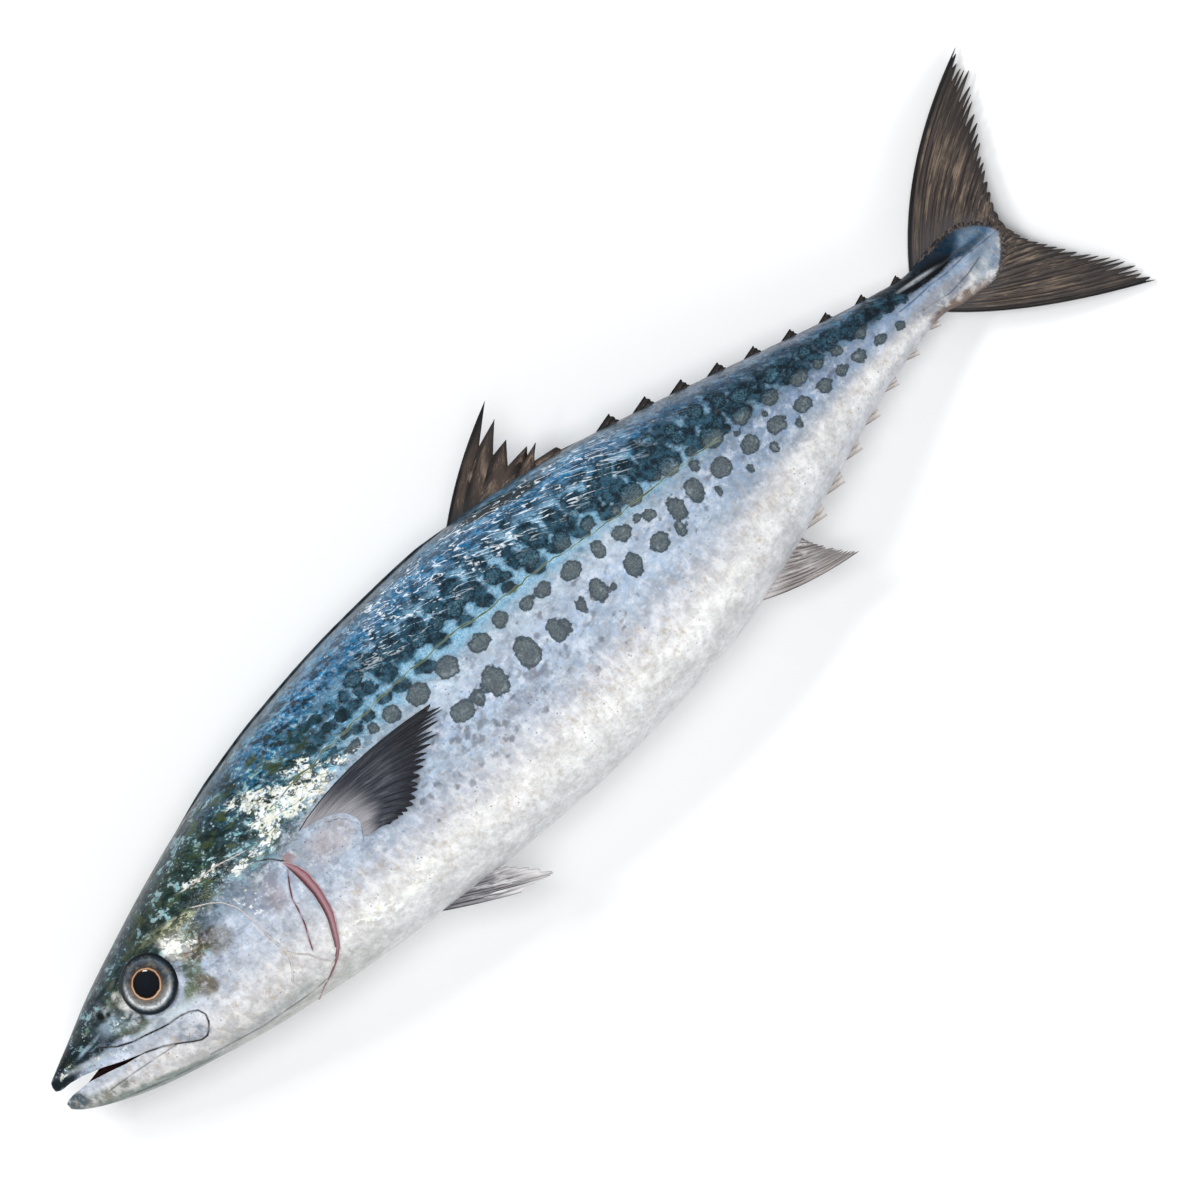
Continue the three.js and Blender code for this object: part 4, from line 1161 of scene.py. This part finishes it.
# %% [markdown]
# ## How a fin is made
# A fin is a sheet of thin skin over rays that fan out from its root. A grid is the right start: one
# direction runs across the rays, the other along them. Each point moves to its place on the fan, the rim is
# frayed ray by ray, a vertex group keeps the skin between the rays thin, and Solidify gives it its
# thickness.

# %% Fans of rays
THICKNESS_STEPS = 20


def path_through(points):
    """A smooth path through points, by its share of the way from 0 to 1."""
    points = np.asarray(points, float)
    steps = np.concatenate([[0], np.cumsum(np.hypot(*np.diff(points, axis=0).T))])
    steps /= steps[-1]
    along_x, along_y = smooth_curve(steps, points[:, 0]), smooth_curve(steps, points[:, 1])
    return lambda u: (along_x(u), along_y(u))


def bent(start, middle, end, v):
    """A bend from start to end that leans to the middle point."""
    return tuple((1 - v) ** 2 * a + 2 * v * (1 - v) * b + v ** 2 * c for a, b, c in zip(start, middle, end))


def fin(
    name, rays, across, rows, reach, middle, root, edge, seed, fray=0.06, slit=0.07, even=0.0, thin=0.62,
):
    """A fin of so many rays: across is the columns a ray, rows the points along it.

    The root and the edge are half thicknesses there. Fray is how much the rays differ in length, slit how far
    the skin between two rays is torn in, even how much of both is taken back, and thin how much the skin
    between the rays is thinned.
    """
    fresh()
    bpy.ops.mesh.primitive_grid_add(x_subdivisions=rays * across, y_subdivisions=rows, size=2)
    sheet = bpy.context.object
    sheet.name = name
    flat = read_points(sheet)
    u, v = (flat[:, 0] + 1) / 2, (flat[:, 1] + 1) / 2
    chance = np.random.default_rng(seed)
    widths = np.concatenate([[0], np.cumsum(chance.uniform(0.6, 1.4, rays))])
    ray = np.interp(u, widths / widths[-1], np.arange(rays + 1))
    tufts = np.repeat(chance.uniform(0, 1, rays), chance.integers(2, 6, rays))[:rays + 2]
    lengths = 1 - fray * (0.6 * tufts + 0.4 * chance.uniform(0, 1, rays + 2))
    whole = np.clip(np.floor(ray + 0.5).astype(int), 0, rays)
    off_ray = np.abs(ray - whole) * 2
    saw = lengths[whole] * (1 - slit * off_ray ** 1.5) * (1 - even)
    saw = (saw + even * (1 - fray * 0.5)) * (1 + 0.45 * fray + 0.4 * slit)
    saw = 1 + (saw - 1) * np.clip(np.minimum(u, 1 - u) * 9, 0.25, 1)
    start, bend, tip = reach(u)
    share = v * saw
    x, y = bent(start, bend, tip, share)
    z = middle(x, y, share, u)
    write_points(sheet, place(np.column_stack([x, y, z])))
    store(sheet, "ray", ray)
    store(sheet, "reach", v)
    store(sheet, "span", u)
    thick = sheet.vertex_groups.new(name="thick")
    thinned = thin * ease(np.clip(off_ray, 0, 1)) * fade(v, 0.05, 0.35)
    amount = (root + (edge - root) * v) / root * (1 - thinned)
    step = np.round(np.clip(amount, 1 / THICKNESS_STEPS, 1) * THICKNESS_STEPS).astype(int)
    for level in range(1, THICKNESS_STEPS + 1):
        thick.add(np.nonzero(step == level)[0].tolist(), level / THICKNESS_STEPS, "REPLACE")
    wall = sheet.modifiers.new("wall", "SOLIDIFY")
    wall.thickness, wall.offset = 2 * root * MM, 0
    wall.vertex_group, wall.thickness_vertex_group = "thick", 0.0
    bpy.ops.object.modifier_apply(modifier="wall")
    bpy.ops.object.shade_smooth()
    return sheet


# %% [markdown]
# ## The finish of a fin
# The rays and the skin between them differ in colour, and both change from root to tip. One function paints
# every fin; each fin names its own colours. Streaks run along the rays, and the rim is darker or paler.

# %% Paint a fin
def fin_finish(
    name, root, ray, web, tip, streak, streak_amount=0.5, root_reach=0.34, tip_from=0.62, rims=1,
):
    """A fin's finish. Rims is how dark its front rim is, and above 1 the rear rim is dark too."""
    material = finish_named(name)
    paint = Paint(material)
    across, reach = paint.field("ray"), paint.field("reach")

    def fibres(per_ray, per_length):
        flow = paint.node("ShaderNodeCombineXYZ")
        paint.plug(flow.inputs[0], paint.times(across, per_ray * MM))
        paint.plug(flow.inputs[1], paint.times(reach, per_length * MM))
        return paint.noise(1.0, 4, 0.7, vector=flow.outputs[0])

    broad, hairs = fibres(0.7, 1.2), fibres(2.4, 2.6)
    off_web = paint.size_of(paint.maths("SUBTRACT", paint.maths("FRACT", across), 0.5))
    on_ray = paint.fade(paint.plus(off_web, paint.scaled(hairs, 0.3, -0.15)), 0.2, 0.46)
    colour = paint.mix(paint.times(on_ray, paint.fade(broad, 0.7, 0.35, 0.35, 0.95)), web, ray)
    colour = paint.mix(paint.fade(hairs, 0.53, 0.66, 0, streak_amount), colour, streak)
    cloudy = paint.times(paint.fade(broad, 0.5, 0.6), paint.fade(paint.noise(11, 3, 0.6), 0.42, 0.58, 0.3, 1))
    colour = paint.mix(paint.times(cloudy, streak_amount), colour, streak)
    colour = paint.mix(paint.fade(hairs, 0.44, 0.34, 0, 0.6), colour, ray)
    frayed = paint.plus(reach, paint.scaled(broad, 0.6, -0.3))
    colour = paint.mix(paint.fade(frayed, tip_from, 1.0, 0, 0.8), colour, tip)
    colour = paint.mix(paint.fade(frayed, root_reach, 0.02, 0, 0.9), colour, root)
    span = paint.field("span")
    rim = paint.fade(span, 0.035, 0.012)
    if rims > 1:
        rim = paint.larger(rim, paint.fade(span, 0.97, 0.99))
    colour = paint.mix(paint.times(rim, 0.85 * min(rims, 1)), colour, "0c0d10")
    normal = paint.bump(paint.plus(on_ray, hairs), 0.22, normal=paint.bump(paint.noise(0.8, 3, 0.7), 0.15))
    paint.finish(colour, 0.38, normal, Coat_Weight=0.3, Coat_Roughness=0.15, Specular_IOR_Level=0.35)
    return material


def on_plane(x, y, v, u):
    return plane_at(x)


# %% [markdown]
# ## The tail
# The forked tail is the largest fin: stiff rays close together, dark brown-grey with tan streaks, its rear
# edge frayed like a saw. Its lobes are set out from the notch of the fork.

# %% Tail fin
def from_notch(points):
    return path_through([(FORK_LENGTH + px, py) for px, py in points])


tail_root = from_notch([(-42, 11), (-26, 13.5), (-9, 11), (-3, 4), (-3, -1), (-9, -8), (-26, -11), (-42, -8)])
tail_bend = from_notch([
    (-14, 50), (-7, 40), (1, 24), (2, 10), (2, 3), (2, -4), (1, -16), (-5, -29), (-14, -36),
])
tail_tips = from_notch([
    (40, 72.4), (34, 64), (29.5, 55), (21.5, 40.5), (12.5, 24), (6, 10), (4, 2), (6, -7), (13, -19.5),
    (23.5, -36.5), (32, -51.5), (37, -60.4),
])
tail = fin(
    "tail_fin", rays=38, across=9, rows=70, root=1.4, edge=0.35, fray=0.11, slit=0.15, seed=11, thin=0.35,
    middle=on_plane, reach=lambda u: (tail_root(u), tail_bend(u), tail_tips(u)),
)
tail_finish = fin_finish(
    "tail_fin_skin", root="4b4647", ray="1b1817", web="453d3a", tip="2b2625", streak="96836f",
    streak_amount=0.75, rims=2,
)
dress(tail, tail_finish)

# %% [markdown]
# ## Fins on the back
# The first fin on the back stands up only at its rear end: seven spines with torn skin between them. In
# front of it the rest of the same fin lies folded in a groove, a thin dark strip along the back. Behind it
# nine small finlets lean to the tail.

# %% Raised and folded fin
SPINES = np.array([
    # root x, tip x, tip y, notch x, notch y
    (284.6, 336, 94.5, 320.5, 81.2), (298, 333, 85.4, 322.2, 74.2), (309, 331.2, 75.6, 324.4, 66.8),
    (320, 336, 67.7, 333.6, 64.6), (329, 340, 66.2, 333.6, 61), (339, 345.4, 59, 346.6, 56.8),
    (350, 356, 53.9, 356.4, 53),
])
TEAR = 0.45  # share of the way between two spines that the torn edge falls or climbs


def raised_reach(u):
    position = u * (len(SPINES) - 1)
    lower = np.clip(np.floor(position).astype(int), 0, len(SPINES) - 2)
    between = position - lower
    x = SPINES[lower, 0] + (SPINES[lower + 1, 0] - SPINES[lower, 0]) * between
    start = (x, back_at(x) - 2.5)
    torn = np.clip(between / TEAR, 0, 1) ** 0.8
    mended = ease(np.clip((between - 1 + TEAR) / TEAR, 0, 1))
    tips = []
    for column in (1, 2):
        tip, notch, after = SPINES[lower, column], SPINES[lower, column + 2], SPINES[lower + 1, column]
        tips.append((tip * (1 - torn) + notch * torn) * (1 - mended) + after * mended)
    bend = (x + (tips[0] - x) * 0.42, start[1] + (tips[1] - start[1]) * 0.58)
    return start, bend, tuple(tips)


raised = fin(
    "raised_fin", rays=6, across=22, rows=44, root=1.0, edge=0.3, fray=0.03, seed=3, even=0.85,
    reach=raised_reach, middle=lambda x, y, v, u: plane_at(x) - 2.5 * v + 0.5 * np.sin(u * 18) * v,
)
FOLDED_FROM, FOLDED_TO, FOLDED_SPINES, FOLDED_HEIGHT = 108.0, 284.0, 17, 1.1


def folded_reach(u):
    x = FOLDED_FROM + (FOLDED_TO - FOLDED_FROM) * u
    lean = (FOLDED_TO - FOLDED_FROM) / FOLDED_SPINES / 2
    high = FOLDED_HEIGHT * np.minimum(1, np.minimum(u * 8, (1 - u) * 10))
    return (x, back_at(x) - 2), (x + lean, back_at(x + lean) + high), (x + lean, back_at(x + lean) + high)


folded = fin(
    "folded_fin", rays=FOLDED_SPINES, across=16, rows=10, root=1.3, edge=0.7, fray=0.2, seed=5,
    reach=folded_reach, middle=on_plane,
)
spine_finish = fin_finish(
    "back_fin_skin", root="2b2c2d", ray="0e0c0c", web="4a3e38", tip="1c1817", streak="9d8977",
    streak_amount=0.55,
)
strip_finish = fin_finish(
    "folded_fin_skin", root="1d2a33", ray="0d1216", web="1b2933", tip="12181d", streak="51626e",
    streak_amount=0.35,
)
dress(raised, spine_finish)
dress(folded, strip_finish)


# %% Finlets
def finlet_reach(first, pitch, length, height, shrink, i, edge):
    scale = 1 - shrink * i
    x0, long = first + pitch * i, length * scale
    skin_at = back_at if edge > 0 else belly_at

    def reach(u):
        x = x0 + long * 0.8 * u
        start = (x, skin_at(x) - edge * 1.6)
        tip_x = x0 + long * (0.9 + 0.14 * u)
        tip = (tip_x, skin_at(tip_x) + edge * (height * scale * (1 - u) ** 1.5 - 0.6 * u))
        return start, (x + (tip_x - x) * 0.55, start[1] + (tip[1] - start[1]) * 0.58), tip

    return reach


def join(pieces, name):
    fresh()
    for piece in pieces:
        piece.select_set(True)
    bpy.context.view_layer.objects.active = pieces[0]
    bpy.ops.object.join()
    pieces[0].name = name
    return pieces[0]


def finlet_row(name, count, first, pitch, length, height, shrink, edge):
    parts = [
        fin(
            f"{name}_{i}", rays=3, across=12, rows=18, root=0.8, edge=0.3, fray=0.1, seed=20 + i, thin=0.3,
            middle=on_plane, reach=finlet_reach(first, pitch, length, height, shrink, i, edge),
        )
        for i in range(count)
    ]
    return join(parts, name)


back_finlets = finlet_row("back_finlets", 9, 359.5, 17.2, 14.0, 4.8, 0.055, 1)
finlet_finish = fin_finish(
    "back_finlet_skin", root="232b33", ray="151415", web="2d2928", tip="1f1c1c", streak="7d6d60",
    streak_amount=0.4,
)
dress(back_finlets, finlet_finish)
belly_finlets = finlet_row("belly_finlets", 7, 399.0, 16.3, 15.5, 5.0, 0.075, -1)
pale_finish = fin_finish(
    "belly_finlet_skin", root="8a817c", ray="94877f", web="c6beb8", tip="e2ddd8", streak="e4ded9",
    streak_amount=0.6, rims=0,
)
dress(belly_finlets, pale_finish)

# %% [markdown]
# ## Fins of the belly
# The fin behind the vent and the two small belly fins are thin and pale, with grey rays and a whitish
# frayed edge.

# %% Anal fin and belly fins
anal_root = path_through([(364, -48), (380, -43), (398, -38)])
anal_bend = path_through([(385, -58.5), (389, -50), (395, -44), (398, -40)])
anal_tips = path_through([(412.7, -61.8), (405, -54.5), (401, -47), (398.5, -42.5)])
anal = fin(
    "anal_fin", rays=14, across=8, rows=40, root=0.9, edge=0.3, fray=0.1, seed=31,
    reach=lambda u: (anal_root(u), anal_bend(u), anal_tips(u)), middle=lambda x, y, v, u: plane_at(x) - 2 * v,
)
belly_root = path_through([(170, -53.5), (180, -54), (194, -54.5)])
belly_tips = path_through([(205.5, -73.3), (223.2, -77), (217, -70), (209, -61.5), (204.5, -59.5)])
BELLY_SPLAY = 3.5


def belly_reach(u):
    start, tip = belly_root(u), belly_tips(u)
    return start, (start[0] + (tip[0] - start[0]) * 0.5, start[1] + (tip[1] - start[1]) * 0.56), tip


belly_fins = [
    fin(
        f"belly_fin_{name}", rays=9, across=8, rows=36, root=0.9, edge=0.3, fray=0.12, seed=41,
        reach=belly_reach, middle=lambda x, y, v, u, way=way: plane_at(x) + way * BELLY_SPLAY * (1 + v) - v,
    )
    for name, way in (("left", 1), ("right", -1))
]
vent_finish = fin_finish(
    "vent_fin_skin", root="d9d4d2", ray="4f4a4b", web="a8a09e", tip="8b8583", streak="eeeae8",
    streak_amount=0.75, rims=0.6,
)
dress(anal, vent_finish)
under_finish = fin_finish(
    "under_fin_skin", root="5c5a5e", ray="1a1a1f", web="98969b", tip="e2dfde", streak="f3f1f0",
    streak_amount=0.75, rims=0.6,
)
for belly_fin in belly_fins:
    dress(belly_fin, under_finish)

# %% [markdown]
# ## The side fins
# Each side fin grows from its pad behind the gill cover and lies back along the flank, lifting off a little
# towards the tips. It is pale grey at the root and nearly black outside. The lower one is folded further
# down, clear of the flat that the fish lies on.

# %% Side fins
side_root = path_through([(150, 9.5), (163, 7), (171, 3), (174, -3), (171.5, -10.5)])
side_bend = path_through([(184, 20), (192, 12), (197, 3), (193, -6), (184, -12.5)])
side_tips = path_through([
    (230, 13.2), (231.5, 9.6), (227, 7.8), (222.8, 4.5), (214.4, -0.8), (208, -5), (201.5, -10),
    (194.5, -14.2), (184, -13.6),
])
side_lines = (side_root, side_bend, side_tips)
HINGE_X, HINGE_Y, UNDER_TURN = 152.0, 6.0, 0.42
FIN_HALF, OFF_THE_FLOOR = 0.5, 0.35


def folded_down(point, way):
    turn = 0 if way > 0 else UNDER_TURN
    dx, dy = point[0] - HINGE_X, point[1] - HINGE_Y
    turned_x = HINGE_X + dx * math.cos(turn) + dy * math.sin(turn)
    turned_y = HINGE_Y + dy * math.cos(turn) - dx * math.sin(turn)
    return turned_x, turned_y


def side_middle(x, y, v, way):
    lift = FIN_HALF - 1.5 * (1 - fade(v, 0, 0.14)) + 2.2 * v ** 1.5
    return np.maximum(FIN_HALF + OFF_THE_FLOOR, plane_at(x) + way * (flank_at(x, y) + lift))


side_finish = fin_finish(
    "side_fin_skin", root="a5a3a8", ray="0d0f15", web="383d47", tip="0d0f15", streak="7f8188",
    streak_amount=0.4, root_reach=0.42, tip_from=0.42,
)
for side_name, way in (("left", 1), ("right", -1)):
    side_fin = fin(
        f"side_fin_{side_name}", rays=19, across=8, rows=56, root=0.7, edge=0.3, fray=0.09, slit=0.16,
        seed=51, reach=lambda u, way=way: tuple(folded_down(line(u), way) for line in side_lines),
        middle=lambda x, y, v, u, way=way: side_middle(x, y, v, way),
    )
    dress(side_fin, side_finish)

# %% [markdown]
# ## The pink edge of the gills
# Behind the gill cover a crescent of pink flesh shows, with a darker red line in its fold. It is a narrow
# ribbon laid in the slit, deep at the cover and level with the skin at its outer edge. Where it runs under
# the cover it is painted darkest, as painted shadow of the cover.

# %% Gill edge
GILL_TOP, GILL_LOW = 4.5, -49.5


def gill_ribbon(name, way):
    fresh()
    bpy.ops.mesh.primitive_grid_add(x_subdivisions=120, y_subdivisions=14, size=2)
    ribbon = bpy.context.object
    ribbon.name = name
    flat = read_points(ribbon)
    u, v = (flat[:, 0] + 1) / 2, (flat[:, 1] + 1) / 2
    y = GILL_TOP + (GILL_LOW - GILL_TOP) * u
    x = COVER_EDGE(y) - 0.6 + (SLIT_WIDTH(y) + 0.8) * v
    roll = 0.35 * ridge(v - 0.8, 0.16) - 0.3 * ridge(v - 0.36, 0.1) - (1 - v) ** 1.2
    deep = np.minimum(1, np.minimum(u, 1 - u) * 12)
    z = plane_at(x) + way * (flank_at(x, y) + roll * deep + 0.12 - 0.9 * (1 - deep))
    write_points(ribbon, place(np.column_stack([x, y, np.maximum(0.3, z)])))
    store(ribbon, "across", v)
    wall = ribbon.modifiers.new("wall", "SOLIDIFY")
    wall.thickness, wall.offset = 0.5 * MM, 0
    bpy.ops.object.modifier_apply(modifier="wall")
    bpy.ops.object.shade_smooth()
    return ribbon


def paint_gill(material):
    paint = Paint(material)
    across = paint.plus(paint.field("across"), paint.scaled(paint.noise(2.2, 3), 0.14, -0.07))
    # the darkest colour, at the cover's side, is painted shadow under the cover
    colour = paint.ramp(across, [
        (0.0, "2e1a1c"), (0.14, "6f4a4c"), (0.27, "46201f"), (0.42, "85565b"), (0.58, "ab868d"),
        (0.76, "9a6f77"), (0.88, "6f363c"), (1.0, "cdbcbe"),
    ])
    paint.finish(colour, 0.3, paint.bump(paint.noise(1.0, 2), 0.15), Coat_Weight=0.5, Coat_Roughness=0.1)


gill_finish = finish_named("gill_flesh")
paint_gill(gill_finish)
for gill_name, way in (("left", 1), ("right", -1)):
    dress(gill_ribbon(f"gill_edge_{gill_name}", way), gill_finish)

# %% [markdown]
# ## Floor, light and camera
# A plain pale floor, three large soft lights and one small lamp. The two strongest light the fish but
# aren't mirrored in it, as that would lay a grey veil over the wet dark back; the small one draws the
# glints. The camera looks straight down on the shown flank from far off, turned so that the fish runs from
# the lower left to the upper right.

# %% Floor and light
fresh()
bpy.ops.mesh.primitive_plane_add(size=6)
floor = bpy.context.object
floor.name = "floor"
floor_finish = finish_named("pale_floor")
floor_paint = Paint(floor_finish)
floor_colour = floor_paint.mix(floor_paint.noise(400, 2), "fefefe", "fbfbfb")
floor_paint.finish(floor_colour, 0.9)
floor.data.materials.append(floor_finish)


def area_light(name, where, aim, size, power, mirrored):
    fresh()
    bpy.ops.object.light_add(type="AREA", location=where)
    lamp = bpy.context.object
    lamp.name = name
    lamp.data.shape = "RECTANGLE"
    lamp.data.size, lamp.data.size_y = size
    lamp.data.energy = power
    lamp.rotation_mode = "QUATERNION"
    lamp.rotation_quaternion = (Vector(aim) - Vector(where)).to_track_quat("-Z", "Y")
    lamp.visible_camera = False
    lamp.visible_glossy = mirrored


area_light("key_from_the_back", (-0.5, 1.3, 1.5), (0, 0, 0.03), (0.7, 0.4), 14, mirrored=False)
area_light("overhead", (-0.2, 0.1, 2.2), (0, 0, 0), (1.1, 1.1), 22, mirrored=False)
area_light("fill_from_the_belly", (0.2, -1.5, 0.9), (0, 0, 0.03), (1.8, 0.9), 12, mirrored=True)
area_light("small_spark", (-1.0, 1.05, 1.5), (-0.1, 0, 0.03), (0.12, 0.12), 3, mirrored=True)
ROOM_TINT, ROOM_STRENGTH = (0.93, 0.96, 1.0, 1), 0.36
world = bpy.data.worlds.new("pale_room")
bpy.context.scene.world = world
world.use_nodes = True
room = world.node_tree.nodes["Background"].inputs
room["Color"].default_value = ROOM_TINT
room["Strength"].default_value = ROOM_STRENGTH

# %% Camera
PHOTO_PIXELS = 1200
MM_PER_PIXEL = 0.43128
AXIS_ANGLE = math.radians(41.98)  # the fish's length in the picture, above the level
FRAME_CENTRE = (315.6, -2.6)  # place on the drawing that the picture's centre shows
LENS, SENSOR = 600.0, 36.0
frame_width = PHOTO_PIXELS * MM_PER_PIXEL * MM
distance = frame_width * LENS / SENSOR
centre = place([*FRAME_CENTRE, REST_HEIGHT])
fresh()
bpy.ops.object.camera_add(location=(centre[0], centre[1], centre[2] + distance), rotation=(0, 0, -AXIS_ANGLE))
camera = bpy.context.object
camera.data.lens, camera.data.sensor_width = LENS, SENSOR
camera.data.clip_end = 30
bpy.context.scene.camera = camera
bpy.context.scene.view_settings.view_transform = "Standard"
print("camera", round(distance, 2), "m above the fish")
